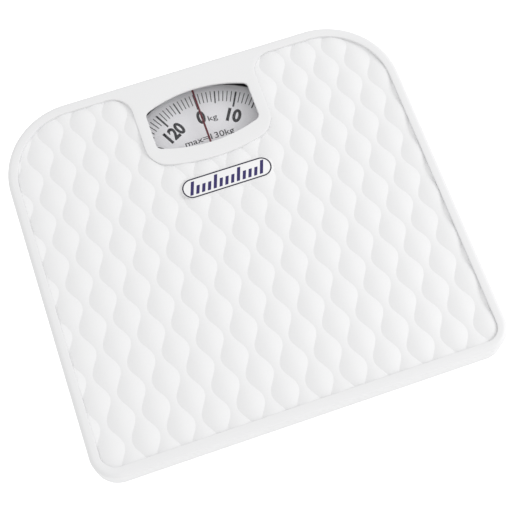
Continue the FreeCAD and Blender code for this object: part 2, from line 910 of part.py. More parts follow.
def make_spring_bracket():
    """Two cheeks that carry the hanger's pivot, joined by a floor strap with screw flanges."""
    reach = "(spring_cheek_x + sheet_wall + flange_length)"
    strap = box(f"-{reach}", "spring_cheek_near", "floor_top", f"2 * {reach}",
                "spring_cheek_depth", "spring_floor")
    cheeks = [box(x, "spring_cheek_near", "floor_top", "sheet_wall", "spring_cheek_depth",
                  "spring_cheek_top - floor_top")
              for x in ("spring_cheek_x", "-spring_cheek_x - sheet_wall")]
    bore = cylinder("-spring_cheek_x - sheet_wall - over", "hanger_pivot_y", "hanger_z",
                    "pivot_radius + pivot_gap", "2 * (spring_cheek_x + sheet_wall + over)", "x")
    holes = [cylinder(f"{sign}spring_screw_x", "spring_cheek_near + spring_cheek_depth / 2",
                      "floor_top - over", "screw_hole", "spring_floor + 2 * over") for sign in ("-", "")]
    keep(cut(fuse(strap, *cheeks), bore, *holes), "spring_bracket")
    keep(cylinder("-spring_cheek_x - sheet_wall - pin_proud", "hanger_pivot_y", "hanger_z",
                  "pivot_radius", "2 * (spring_cheek_x + sheet_wall + pin_proud)", "x"),
         "hanger_pivot_pin")


def make_spring_hanger():
    """The rocking plate that the main spring hangs from, rolled into a tube round its pivot."""
    low = "hanger_z - hanger_thickness / 2"
    plate = box("-hanger_neck", "hanger_pivot_y", low, "2 * hanger_neck",
                "hanger_far - hanger_pivot_y", "hanger_thickness")
    tube = cylinder("-hanger_half_width", "hanger_pivot_y", "hanger_z", "hanger_tube",
                    "2 * hanger_half_width", "x")
    bore = cylinder("-hanger_half_width - over", "hanger_pivot_y", "hanger_z", "pivot_hole",
                    "2 * hanger_half_width + 2 * over", "x")
    hook = cylinder("0", "spring_y", f"{low} - over", "hook_hole", "hanger_thickness + 2 * over")
    screw = cylinder("0", "knob_y", f"{low} - over", "zero_screw_clearance", "hanger_thickness + 2 * over")
    keep(cut(fuse(plate, tube), bore, hook, screw), "spring_hanger")


def make_zero_adjuster():
    """A grooved thumbwheel and the screw that it lifts and lowers."""
    body = new_body("zero_knob")
    sketch = new_sketch(body)
    circles(sketch, [("0", "0")], "knob_radius")
    pad(body, sketch, "knob_height")
    dress(body, "Chamfer", "knob_groove_radius", lambda edge: True)
    sketch = new_sketch(body, "knob_height")
    circles(sketch, [("0", "0")], "zero_screw_hole")
    pocket(body, sketch, "knob_height + over")
    sketch = new_sketch(body, "knob_height")
    circles(sketch, [("knob_radius", "0")], "knob_groove_radius")
    groove = pocket(body, sketch, "knob_height + over")
    ring = body.newObject("PartDesign::PolarPattern", "zero_knob_grooves")
    ring.Originals = [groove]
    ring.Axis = (sketch, ["N_Axis"])
    ring.Angle = 360
    bind(ring, Occurrences="knob_grooves")
    body.Tip = ring
    place(body, "0", "knob_y", "knob_bottom")
    top = "(hanger_z + hanger_thickness / 2 + head_gap)"
    screw = cylinder("0", "knob_y", "floor_top + screw_foot_gap", "zero_screw_radius",
                     f"{top} - floor_top - screw_foot_gap")
    head = cylinder("0", "knob_y", top, "zero_head_radius", "zero_head_height")
    keep(fuse(screw, head), "zero_screw")


# Bell crank, rack and return spring ---------------------------------------------------------


def make_bell_crank():
    """Two arms at a right angle: the short one under the tongue, the long one in the rack."""
    arm = "crank_arm_half_width"
    hub = cylinder("crank_x", "0", "0", "crank_hub", "crank_wall", "x")
    short = box("crank_x", "0", f"-{arm}", "crank_wall", "crank_short_arm", f"2 * {arm}")
    tip = cylinder("crank_x", "crank_short_arm", "0", arm, "crank_wall", "x")
    long = box("crank_x", f"-{arm}", "0", "crank_wall", f"2 * {arm}", "crank_long_arm")
    head = cylinder("crank_x", "0", "crank_long_arm", f"{arm} + eye_extra", "crank_wall", "x")
    bore = cylinder("crank_x - over", "0", "0", "pivot_hole", "crank_wall + 2 * over", "x")
    eye = cylinder("crank_x - over", "0", "crank_long_arm", "crank_pin_radius", "crank_wall + 2 * over", "x")
    crank = keep(cut(fuse(hub, short, tip, long, head), bore, eye), "bell_crank")
    pin = keep(cylinder("crank_pin_left", "0", "crank_long_arm", "crank_pin_radius",
                        "crank_x + crank_wall - crank_pin_left + fork_proud", "x"), "crank_pin")
    lean = number("crank_swing") / 2
    turn = Rotation(Vector(1, 0, 0), lean)
    place(crank, "0", "crank_y", "crank_z", turn)
    pin.Placement = Placement(Vector(0, number("crank_y"), number("crank_z")), turn).multiply(
        Placement(Vector(number("crank_pin_left"), 0, number("crank_long_arm")), ALONG["x"]))
    for axis, text in (
        ("y", f"crank_y - crank_long_arm * sin(crank_swing / 2 * 1 deg)"),
        ("z", f"crank_z + crank_long_arm * cos(crank_swing / 2 * 1 deg)"),
    ):
        pin.setExpression(f"Placement.Base.{axis}", bound(text))
    pin.setExpression("Placement.Base.x", bound("crank_pin_left"))


def make_crank_bracket():
    depth = "2 * crank_cheek_half_depth"
    cheek = box("crank_cheek_x", "crank_y - crank_cheek_half_depth", "floor_top", "sheet_wall",
                depth, "crank_cheek_top - floor_top")
    flange = box("crank_cheek_x", "crank_y - crank_cheek_half_depth", "floor_top",
                 "sheet_wall + flange_length", depth, "sheet_wall")
    bore = cylinder("crank_cheek_x - over", "crank_y", "crank_z", "pivot_radius + pivot_gap",
                    "sheet_wall + 2 * over", "x")
    hole = cylinder("crank_screw_x", "crank_y", "floor_top - over", "screw_hole", "sheet_wall + 2 * over")
    keep(cut(fuse(cheek, flange), bore, hole), "crank_bracket")
    keep(cylinder("crank_x - pin_proud", "crank_y", "crank_z", "pivot_radius",
                  "crank_cheek_x + sheet_wall + 2 * pin_proud - crank_x", "x"), "crank_pivot_pin")


def tooth_halves():
    """Half a tooth's width at its tip, on the pitch line and at its root."""
    module = number("gear_module")
    middle = number("tooth_share") * math.pi * module / 2
    slope = math.tan(PRESSURE_ANGLE)
    return middle - slope * module, middle, middle + slope * DEDENDUM * module


def make_rack():
    """A toothed bar whose raised head is slotted for the crank pin."""
    module = number("gear_module")
    pitch_x = module * number("pinion_teeth") / 2
    tip_x, root_x = pitch_x - module, pitch_x + DEDENDUM * module
    tip, _, root = tooth_halves()
    step = math.pi * module
    middle = number("dial_y") + step / 2
    first = math.ceil((number("rack_tooth_near") - middle) / step)
    last = math.floor((number("rack_tooth_far") - middle) / step)
    edge = [(root_x, number("rack_near"))]
    for tooth in range(first, last + 1):
        y = middle + tooth * step
        edge += [(root_x, y - root), (tip_x, y - tip), (tip_x, y + tip), (root_x, y + root)]
    edge.append((root_x, number("rack_far")))
    edge.append((number("rack_right"), number("rack_far")))
    edge.append((number("rack_right"), number("rack_near")))
    profile = [Vector(x, y, 0) for x, y in edge]
    face = Part.Face(Part.makePolygon(profile + profile[:1]))
    bar = face.extrude(Vector(0, 0, number("rack_top - rack_bottom")))
    bar.translate(Vector(0, 0, number("rack_bottom")))
    head = Part.makeBox(number("rack_right") - root_x, number("rack_far - rack_head_near"),
                        number("rack_head_top - rack_bottom"),
                        Vector(root_x, number("rack_head_near"), number("rack_bottom")))
    pin_y = number("crank_y") - number("crank_long_arm") * math.sin(
        math.radians(number("crank_swing") / 2))
    half = number("rack_slot_half_width")
    slot = Part.makeBox(root_x + 10, 2 * half, number("rack_slot_top - rack_slot_bottom"),
                        Vector(0, pin_y - half, number("rack_slot_bottom")))
    item = keep(doc.addObject("Part::Feature", "rack"), "rack")
    item.Shape = bar.fuse(head).removeSplitter().cut(slot)
    item.Placement = Placement()


def make_rack_fittings():
    pitch_x = "(gear_module * pinion_teeth / 2)"
    depth = "guide_far - guide_near"
    wall_x = "(rack_right + guide_gap)"
    cheek = box(wall_x, "guide_near", "floor_top", "guide_wall", depth, "rack_top - floor_top")
    ledge = box(f"{pitch_x} + ledge_gap", "guide_near", "rack_bottom - guide_gap - guide_wall",
                f"{wall_x} - {pitch_x} - ledge_gap", depth, "guide_wall")
    flange = box(wall_x, "guide_near", "floor_top", "guide_wall + flange_length", depth,
                 "sheet_wall")
    hole = cylinder("guide_screw_x", "(guide_near + guide_far) / 2", "floor_top - over",
                    "screw_hole", "sheet_wall + 2 * over")
    keep(cut(fuse(cheek, ledge, flange), hole), "rack_guide")

    middle = f"(({pitch_x} + rack_right) / 2)"
    post = box(f"{middle} - anchor_width / 2", "anchor_y", "floor_top", "anchor_width", "sheet_wall",
               "rack_top - floor_top + over")
    foot = box(f"{middle} - anchor_width / 2", "anchor_y - anchor_foot", "floor_top", "anchor_width",
               "anchor_foot + sheet_wall", "sheet_wall")
    hole = cylinder(middle, "anchor_screw_y", "floor_top - over", "screw_hole", "sheet_wall + 2 * over")
    keep(cut(fuse(post, foot), hole), "return_spring_anchor")

    wound = coil("return_spring", "return_spring_radius", "return_spring_wire",
                 "return_spring_length", "return_spring_pitch")
    place(wound, middle, "return_spring_near", "(rack_bottom + rack_top) / 2", ALONG["y"])
    keep(wound, "return_spring")


# Dial ---------------------------------------------------------------------------------------


def make_pinion():
    """A small brass pinion with thinned teeth, so that it runs free of the rack's teeth."""
    module = number("gear_module")
    count = int(number("pinion_teeth"))
    pitch = module * count / 2
    tip, middle, root = tooth_halves()
    radii = (pitch - DEDENDUM * module, pitch, pitch + module)
    halves = (root / radii[0] * 0.9, middle / pitch, tip * 0.8 / radii[2])
    points = []
    for tooth in range(count):
        centre = 2 * math.pi * tooth / count
        flank = list(zip(radii, halves))
        for radius, half in flank:
            points.append(Vector(radius * math.cos(centre - half), radius * math.sin(centre - half), 0))
        for radius, half in reversed(flank):
            points.append(Vector(radius * math.cos(centre + half), radius * math.sin(centre + half), 0))
    face = Part.Face(Part.makePolygon(points + points[:1]))
    height = number("pinion_top - pinion_bottom")
    gear = face.extrude(Vector(0, 0, height)).cut(Part.makeCylinder(number("spindle_bore"), height))
    item = keep(doc.addObject("Part::Feature", "pinion"), "pinion")
    item.Shape = gear
    place(item, "0", "dial_y", "pinion_bottom")


def make_dial():
    y = "dial_y"
    disc = cylinder("0", y, "dial_bottom", "dial_radius", "dial_thickness")
    keep(cut(disc, cylinder("0", y, "dial_bottom - over", "spindle_bore", "dial_thickness + 2 * over")),
         "dial_disc")
    hub = cylinder("0", y, "hub_bottom", "hub_radius", "dial_bottom - hub_bottom")
    keep(cut(hub, cylinder("0", y, "hub_bottom - over", "spindle_bore", "bore_reach")), "dial_hub")
    top = "(dial_bottom + dial_thickness)"
    nut = cylinder("0", y, top, "nut_radius", "nut_height")
    keep(cut(nut, cylinder("0", y, f"{top} - over", "spindle_bore", "nut_height + 2 * over")), "dial_nut")
    keep(cylinder("0", y, "spindle_bottom", "spindle_radius", "spindle_top - spindle_bottom"),
         "dial_spindle")


def make_dial_bridge():
    """The bridge over the rack that holds the spindle's upper bushing."""
    w, near, depth = "bridge_half_width", "dial_y - bridge_half_depth", "2 * bridge_half_depth"
    deck = box(f"-{w}", near, "bridge_bottom", f"2 * {w}", depth, "bridge_top - bridge_bottom")
    legs = [box(x, near, "floor_top", "sheet_wall", depth, "bridge_top - floor_top")
            for x in (f"{w} - sheet_wall", f"-{w}")]
    flanges = [box(x, near, "floor_top", "flange_length - over", depth, "sheet_wall")
               for x in (w, f"-{w} - flange_length + over")]
    bore = cylinder("0", "dial_y", "bridge_bottom - over", "bushing_hole", "bore_reach")
    holes = [cylinder(f"{sign}bridge_screw_x", "dial_y", "floor_top - over", "screw_hole",
                      "sheet_wall + 2 * over") for sign in ("-", "")]
    keep(cut(fuse(deck, *legs, *flanges), bore, *holes), "dial_bridge")

    bushing = cylinder("0", "dial_y", "bushing_bottom", "bushing_radius",
                       "bushing_top - bushing_bottom")
    keep(cut(bushing, cylinder("0", "dial_y", "bushing_bottom - over", "spindle_running_bore", "bore_reach")),
         "spindle_bushing")
    step = cylinder("0", "dial_y", "floor_top", "step_radius", "step_top - floor_top")
    keep(cut(step, cylinder("0", "dial_y", "spindle_bottom - spindle_gap",
                            "spindle_running_bore", "bore_reach")),
         "spindle_step_bearing")


# Fixings and retaining springs --------------------------------------------------------------


def make_fixings():
    group("bracket_screws", [
        fuse(cylinder(x, y, "tray_bottom + shank_gap", "screw_radius", f"{top} - tray_bottom - shank_gap"),
             cylinder(x, y, top, "screw_head", "screw_head_height"))
        for x, y, top in screw_points()])


def make_retaining_springs():
    springs = []
    for side, sign in SIDES.items():
        wound = coil(f"retaining_spring_{side}", "retainer_radius", "retainer_wire",
                     "retainer_rise", "retainer_pitch")
        place(wound, f"{sign:g} * retainer_x", "retainer_y", "retainer_bottom")
        springs.append(wound)
    group("retaining_springs", springs)
    group("retaining_spring_tabs", [
        box(f"{sign:g} * retainer_x - tab_width / 2", "retainer_y - tab_width / 2", "floor_top",
            "tab_width", "tab_width", "retainer_bottom - retainer_wire - tab_gap - floor_top")
        for sign in SIDES.values()])


def check_and_write():
    """Stops on any failed object or bad shape, then writes each piece to its own file."""
    doc.recompute()
    failed = [o.Name for o in doc.Objects if {"Invalid", "Error"} & set(o.State)]
    if failed:
        raise RuntimeError(f"these objects failed: {failed}")
    os.makedirs("parts", exist_ok=True)
    for label, item in nodes.items():
        shape = item.Shape
        if shape.isNull() or not shape.isValid() or not shape.Solids:
            raise RuntimeError(f"{label} has no valid solid")
        print(f"{label:28s} solids {len(shape.Solids)}  volume {shape.Volume:10.1f}")
    for label, item in nodes.items():
        item.Shape.exportStep(os.path.join("parts", f"{label}.step"))


make_platform_shell()
make_mat()
make_badge()
make_lens_and_pointer()
make_base_tray()
make_feet()
make_levers()
make_calibrating_plate()
make_main_spring()
make_spring_bracket()
make_spring_hanger()
make_zero_adjuster()
make_bell_crank()
make_crank_bracket()
make_rack()
make_rack_fittings()
make_pinion()
make_dial()
make_dial_bridge()
make_fixings()
make_retaining_springs()
check_and_write()
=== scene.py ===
import math

import bmesh
import bpy
from mathutils import Matrix, Vector


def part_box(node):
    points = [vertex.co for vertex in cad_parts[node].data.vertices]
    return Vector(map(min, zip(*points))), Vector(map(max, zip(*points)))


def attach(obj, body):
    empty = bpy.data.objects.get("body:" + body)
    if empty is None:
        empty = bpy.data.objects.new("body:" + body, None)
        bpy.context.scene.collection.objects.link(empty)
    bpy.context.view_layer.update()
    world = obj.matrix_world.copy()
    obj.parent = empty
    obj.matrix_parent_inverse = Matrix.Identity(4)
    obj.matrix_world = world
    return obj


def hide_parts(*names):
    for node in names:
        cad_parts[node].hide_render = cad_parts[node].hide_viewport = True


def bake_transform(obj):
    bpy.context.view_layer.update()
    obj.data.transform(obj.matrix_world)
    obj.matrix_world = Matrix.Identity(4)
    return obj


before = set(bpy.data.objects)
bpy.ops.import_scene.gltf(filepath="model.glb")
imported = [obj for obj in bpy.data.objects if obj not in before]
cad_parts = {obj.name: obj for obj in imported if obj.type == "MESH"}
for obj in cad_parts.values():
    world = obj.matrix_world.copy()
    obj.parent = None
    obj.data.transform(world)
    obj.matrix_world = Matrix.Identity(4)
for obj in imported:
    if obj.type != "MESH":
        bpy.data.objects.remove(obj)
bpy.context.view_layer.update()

MM = 0.001

# The platform cover and its mat, in millimetres
CASE_HALF_WIDTH = 140.0
CASE_HALF_DEPTH = 130.0
CASE_NEAR_CORNER = 17.5
CASE_FAR_CORNER = 52.0
CASE_WALL = 2.4
SKIRT_BOTTOM = 22.0
CASE_TOP = 42.0
RIM_ROUND = 3.5
DECK_TOP = 39.0
DECK_BOTTOM = 36.6
MAT_HALF_WIDTH = 133.0
MAT_NEAR = -123.5
MAT_FAR = 122.5
MAT_NEAR_CORNER = 10.4
MAT_FAR_CORNER = 45.0
MAT_TOP = 41.2
TAB_HALF_WIDTH = 44.7
TAB_LOBE = 14.8
TAB_CORNER = 16.6
TAB_ARC = 126.5
TAB_ARC_Y = 184.2
WINDOW_HALF_WIDTH = 36.8
WINDOW_CORNER = 4.0
WINDOW_NEAR_ARC = 101.0
WINDOW_NEAR_Y = 170.06
WINDOW_FAR_ARC = 92.0
WINDOW_FAR_Y = 19.18

# The mat's embossed ridges: each runs front to back and swells where its neighbours narrow
RIDGE_PITCH = 11.5
RIDGE_FIRST = -136.85
RIDGE_COUNT = 25
RIDGE_SWELL = 3.28
SWELL_PERIOD = 32.0
SWELL_Y = 0.9
RIDGE_SLOPE = 0.37
RIDGE_ROUND = 6.5
RIDGE_STEPS = 8
SWELL_ROWS = 196

# The dial
DIAL_Y = 50.0
DIAL_RADIUS = 68.4
DIAL_TOP = 29.0
DIAL_LOW = 28.4
TICK_RADIUS = 63.4
CAPACITY = 130

# The length of an arc's pieces in millimetres, and the distances in metres that merge doubles
ARC_STEP = 1.2
WELD = 1e-6
MAT_WELD = 2e-6
EDGE_WELD = 2e-7


def activate(*pieces):
    """Selects only these pieces and makes the last one active."""
    bpy.ops.object.select_all(action="DESELECT")
    for piece in pieces:
        piece.select_set(True)
    bpy.context.view_layer.objects.active = pieces[-1]


def edit(piece, kind="FACE"):
    """Enters edit mode on one piece with nothing selected."""
    activate(piece)
    bpy.ops.object.mode_set(mode="EDIT")
    bpy.ops.mesh.select_mode(type=kind)
    bpy.ops.mesh.select_all(action="DESELECT")


def take_all():
    """Selects the whole mesh in edit mode."""
    bpy.ops.mesh.select_all(action="SELECT")


def leave():
    bpy.ops.object.mode_set(mode="OBJECT")


def pick(piece, kind, test):
    """Selects the faces, edges or verts of a piece in edit mode that pass a test."""
    mesh = bmesh.from_edit_mesh(piece.data)
    for item in getattr(mesh, kind):
        item.select_set(bool(test(item)))
    mesh.select_flush_mode()
    bmesh.update_edit_mesh(piece.data)


def level_edge(edge, z, slack=0.02):
    """Whether an edge lies level at the height z."""
    return all(abs(v.co.z / MM - z) < slack for v in edge.verts)


def join(name, *pieces):
    """Makes one piece of several; the last one's object is kept."""
    activate(*pieces)
    bpy.ops.object.join()
    piece = bpy.context.object
    piece.name = name
    piece.data.name = name
    return piece


def tidy_mesh(piece, angle=32, merge=WELD):
    """Merges doubles, turns the faces outwards and shades the soft edges smooth."""
    edit(piece, "VERT")
    take_all()
    bpy.ops.mesh.remove_doubles(threshold=merge)
    bpy.ops.mesh.normals_make_consistent(inside=False)
    leave()
    soften(piece, angle)


def soften(piece, angle):
    """Shades smooth across the edges flatter than an angle in degrees."""
    activate(piece)
    bpy.ops.object.shade_smooth_by_angle(angle=math.radians(angle))


def outline(name, start, strokes, z):
    """Draws a closed line of straight runs and arcs, and fills it with one face."""
    bpy.ops.object.select_all(action="DESELECT")
    bpy.ops.mesh.primitive_plane_add(size=MM)
    piece = bpy.context.object
    piece.name = name
    bpy.ops.object.mode_set(mode="EDIT")
    bpy.ops.mesh.select_mode(type="VERT")
    bpy.ops.mesh.merge(type="CENTER")
    bpy.ops.transform.translate(value=(start[0] * MM, start[1] * MM, z * MM))
    x, y = start
    for stroke in strokes:
        if len(stroke) == 2:
            to_x, to_y = stroke
            bpy.ops.mesh.extrude_vertices_move(
                TRANSFORM_OT_translate={"value": ((to_x - x) * MM, (to_y - y) * MM, 0)})
            x, y = to_x, to_y
        else:
            centre_x, centre_y, sweep = stroke
            radius = math.hypot(x - centre_x, y - centre_y)
            steps = max(3, round(radius * abs(math.radians(sweep)) / ARC_STEP))
            bpy.ops.mesh.spin(steps=steps, angle=-math.radians(sweep),
                              center=(centre_x * MM, centre_y * MM, z * MM), axis=(0, 0, 1))
            angle = math.atan2(y - centre_y, x - centre_x) + math.radians(sweep)
            x = centre_x + radius * math.cos(angle)
            y = centre_y + radius * math.sin(angle)
    take_all()
    bpy.ops.mesh.remove_doubles(threshold=WELD)
    take_all()
    bpy.ops.mesh.edge_face_add()
    bpy.ops.mesh.normals_make_consistent(inside=False)
    leave()
    if piece.data.polygons[0].normal.z < 0:
        edit(piece)
        take_all()
        bpy.ops.mesh.flip_normals()
        leave()
    return piece


def case_outline(name, inward, z):
    """The cover's plan, moved inward."""
    w, h = CASE_HALF_WIDTH - inward, CASE_HALF_DEPTH - inward
    near, far = CASE_NEAR_CORNER - inward, CASE_FAR_CORNER - inward
    return outline(name, (w, near - h), (
        (w, h - far), (w - far, h - far, 90),
        (far - w, h), (far - w, h - far, 90),
        (-w, near - h), (near - w, near - h, 90),
        (w - near, -h), (w - near, near - h, 90)), z)


def mat_outline(name, outward, z):
    """The mat's plan with its cut-out for the window's tab, moved outward."""
    w = MAT_HALF_WIDTH + outward
    low, top = MAT_NEAR - outward, MAT_FAR + outward
    near, far = MAT_NEAR_CORNER + outward, MAT_FAR_CORNER + outward
    tab, lobe = TAB_HALF_WIDTH - outward, TAB_LOBE + outward
    corner, arc = TAB_CORNER - outward, TAB_ARC - outward
    inner = tab - corner
    drop = math.sqrt((arc - corner) ** 2 - inner ** 2)
    lean = math.degrees(math.atan2(drop, inner))
    corner_y = TAB_ARC_Y - drop
    return outline(name, (w, low + near), (
        (w, top - far), (w - far, top - far, 90),
        (tab + lobe, top), (tab + lobe, top - lobe, 90),
        (tab, corner_y), (inner, corner_y, -lean),
        (0, TAB_ARC_Y, 2 * lean - 180), (-inner, corner_y, -lean),
        (-tab, top - lobe), (-tab - lobe, top - lobe, 90),
        (far - w, top), (far - w, top - far, 90),
        (-w, low + near), (near - w, low + near, 90),
        (w - near, low), (w - near, low + near, 90)), z)


def window_outline(name, outward, z):
    """The window's plan with its two arcs, moved outward."""
    w, corner = WINDOW_HALF_WIDTH + outward, WINDOW_CORNER + outward
    near, far = WINDOW_NEAR_ARC + outward, WINDOW_FAR_ARC + outward
    inner = w - corner
    near_drop = math.sqrt((near - corner) ** 2 - inner ** 2)
    far_rise = math.sqrt((far - corner) ** 2 - inner ** 2)
    near_y, far_y = WINDOW_NEAR_Y - near_drop, WINDOW_FAR_Y + far_rise
    near_lean = math.degrees(math.atan2(near_drop, inner))
    far_lean = math.degrees(math.atan2(far_rise, inner))
    return outline(name, (w, near_y), (
        (w, far_y), (inner, far_y, far_lean),
        (0, WINDOW_FAR_Y, 180 - 2 * far_lean), (-inner, far_y, far_lean),
        (-w, near_y), (-inner, near_y, near_lean),
        (0, WINDOW_NEAR_Y, 180 - 2 * near_lean), (inner, near_y, near_lean)), z)


def step_in(inward, rise):
    """Insets the selected face and moves it by rise along its normal."""
    bpy.ops.mesh.inset(thickness=inward * MM, depth=rise * MM, use_even_offset=True)


def lift(rise):
    """Extrudes the selected faces straight up by rise."""
    bpy.ops.mesh.extrude_region_move(TRANSFORM_OT_translate={"value": (0, 0, rise * MM)})


def widen(across, along, centre):
    """Adds a level shelf outside the chosen face by growing a copy of its edge."""
    lift(0)
    bpy.ops.transform.resize(value=(across, along, 1),
                             center_override=(centre[0] * MM, centre[1] * MM, 0))


def drop_face():
    """Opens the shape by deleting the selected face but not its edges."""
    bpy.ops.mesh.delete(type="ONLY_FACE")


def rounding(radius, steps):
    """Steps round a quarter circle from a wall to a flat."""
    for k in range(steps):
        a, b = (math.pi / 2 * j / steps for j in (k, k + 1))
        step_in(radius * (math.cos(a) - math.cos(b)), radius * (math.sin(b) - math.sin(a)))


# --- the cover ----------------------------------------------------------------------------------
RIM_STEPS = 7
CROWN = ((0.8, 0.02), (0.7, 0.05), (0.6, 0.08), (0.4, 0.1))
CROWN_LIP = (0.1, 0.12)
GAP_SHOWN = 0.12
CROWN_WIDTH = sum(step for step, _ in CROWN)
FUNNEL = ((0.2, 0.04), (0.18, 0.12), (0.12, 0.24), (0.15, 0.9))
UNDERCUT = (1.08, 1.14)
WINDOW_MIDDLE = 90.0
FUNNEL_WIDTH = sum(step for step, _ in FUNNEL)


def make_cover():
    """The cover: its outer wall, its inside, the mat's recess and the window's opening."""
    outer = case_outline("outer", 0, SKIRT_BOTTOM)
    edit(outer)
    take_all()
    lift(CASE_TOP - SKIRT_BOTTOM - RIM_ROUND)
    rounding(RIM_ROUND, RIM_STEPS)
    drop_face()
    pick(outer, "faces", lambda f: f.normal.z < -0.5)
    drop_face()
    leave()

    inner = case_outline("inner", CASE_WALL, SKIRT_BOTTOM)
    edit(inner)
    take_all()
    lift(DECK_BOTTOM - SKIRT_BOTTOM)
    drop_face()
    pick(inner, "faces", lambda f: f.normal.z < -0.5)
    drop_face()
    leave()

    recess = mat_outline("recess", GAP_SHOWN + CROWN_WIDTH, CASE_TOP)
    edit(recess)
    take_all()
    for inward, fall in CROWN:
        step_in(inward, -fall)
    step_in(CROWN_LIP[0], -CROWN_LIP[1])
    lift(DECK_TOP - CASE_TOP + CROWN_LIP[1] + sum(fall for _, fall in CROWN))
    leave()

    window = window_outline("window", FUNNEL_WIDTH, CASE_TOP)
    edit(window)
    take_all()
    for inward, fall in FUNNEL:
        step_in(inward, -fall)
    widen(*UNDERCUT, (0, WINDOW_MIDDLE))
    lift(DECK_BOTTOM - CASE_TOP + sum(fall for _, fall in FUNNEL))
    drop_face()
    leave()

    cover = join("cover", inner, recess, window, outer)
    edit(cover, "EDGE")
    pick(cover, "edges", lambda e: e.is_boundary and level_edge(e, SKIRT_BOTTOM))
    bpy.ops.mesh.bridge_edge_loops()
    pick(cover, "edges", lambda e: e.is_boundary and level_edge(e, CASE_TOP))
    bpy.ops.mesh.fill(use_beauty=True)
    pick(cover, "edges", lambda e: e.is_boundary and level_edge(e, DECK_BOTTOM))
    bpy.ops.mesh.fill(use_beauty=True)
    leave()
    tidy_mesh(cover, angle=30)
    return cover


# --- the mat ------------------------------------------------------------------------------------
EDGE_LOOPS = (0.0, 0.3, 0.9)
EDGE_ROUND = 0.9
EDGE_DROP = 0.12
BADGE_X = 1.2
BADGE_Y = 39.8
BADGE_HALF = 31.8
BADGE_ROUND = 7.4
BADGE_END = BADGE_ROUND - 0.01
BADGE_MARGIN = 0.6
GRID_MARGIN = 2
MAT_SEAT = 0.02


def rounded_box(x, y, half_x, half_y, radius):
    """How far a point lies outside a rounded rectangle; negative inside."""
    qx, qy = abs(x) - half_x + radius, abs(y) - half_y + radius
    return min(max(qx, qy), 0) + math.hypot(max(qx, 0), max(qy, 0)) - radius


def outside_mat(x, y):
    """How far a point lies outside the mat's plan; negative inside."""
    middle, half = (MAT_FAR + MAT_NEAR) / 2, (MAT_FAR - MAT_NEAR) / 2
    radius = MAT_FAR_CORNER if y > middle else MAT_NEAR_CORNER
    plate = rounded_box(x, y - middle, MAT_HALF_WIDTH, half, radius)
    side = abs(x)
    inner = TAB_HALF_WIDTH - TAB_CORNER
    drop = math.sqrt((TAB_ARC - TAB_CORNER) ** 2 - inner ** 2)
    corner_y = TAB_ARC_Y - drop
    lobe_x, lobe_y = TAB_HALF_WIDTH + TAB_LOBE, MAT_FAR - TAB_LOBE
    if side > TAB_HALF_WIDTH and side < lobe_x and y > lobe_y:
        return math.hypot(side - lobe_x, y - lobe_y) - TAB_LOBE
    if y >= corner_y:
        tab = side - TAB_HALF_WIDTH
    elif side > inner and (side - inner) * drop > (corner_y - y) * inner:
        tab = math.hypot(side - inner, y - corner_y) - TAB_CORNER
    else:
        tab = math.hypot(x, y - TAB_ARC_Y) - TAB_ARC
    return max(plate, -tab)


def ridge(across):
    """The fall of one ridge's rounded back away from its crest."""
    return -RIDGE_SLOPE * RIDGE_ROUND * math.log(math.cosh(across / RIDGE_ROUND))


def swell(column, y):
    """How much wider than its half pitch a column is at y."""
    sign = 1 if column % 2 == 0 else -1
    return sign * RIDGE_SWELL * math.cos(2 * math.pi * (y - SWELL_Y) / SWELL_PERIOD)


def crest(column, y):
    """The height of a column's crest at which it meets its neighbours in their creases."""
    half, out = RIDGE_PITCH / 2, swell(column, y)
    return (ridge(half - out) - ridge(half + out)) / 2


TOP_CREST = (ridge(RIDGE_PITCH / 2 - RIDGE_SWELL) - ridge(RIDGE_PITCH / 2 + RIDGE_SWELL)) / 2


def relief(x, y):
    """The height of the mat's face under its highest point."""
    near = round((x - RIDGE_FIRST) / RIDGE_PITCH)
    best = max(crest(column, y) + ridge(x - RIDGE_FIRST - RIDGE_PITCH * column)
               for column in (near - 1, near, near + 1))
    fall = best - TOP_CREST
    badge = rounded_box(x - BADGE_X, y - BADGE_Y, BADGE_HALF, BADGE_ROUND, BADGE_END)
    if badge < BADGE_MARGIN:
        fall *= max(0, badge / BADGE_MARGIN)
    edge = max(0, 1 + outside_mat(x, y) / EDGE_ROUND)
    return fall - EDGE_DROP * (1 - math.sqrt(max(0, 1 - min(edge, 1) ** 2)))


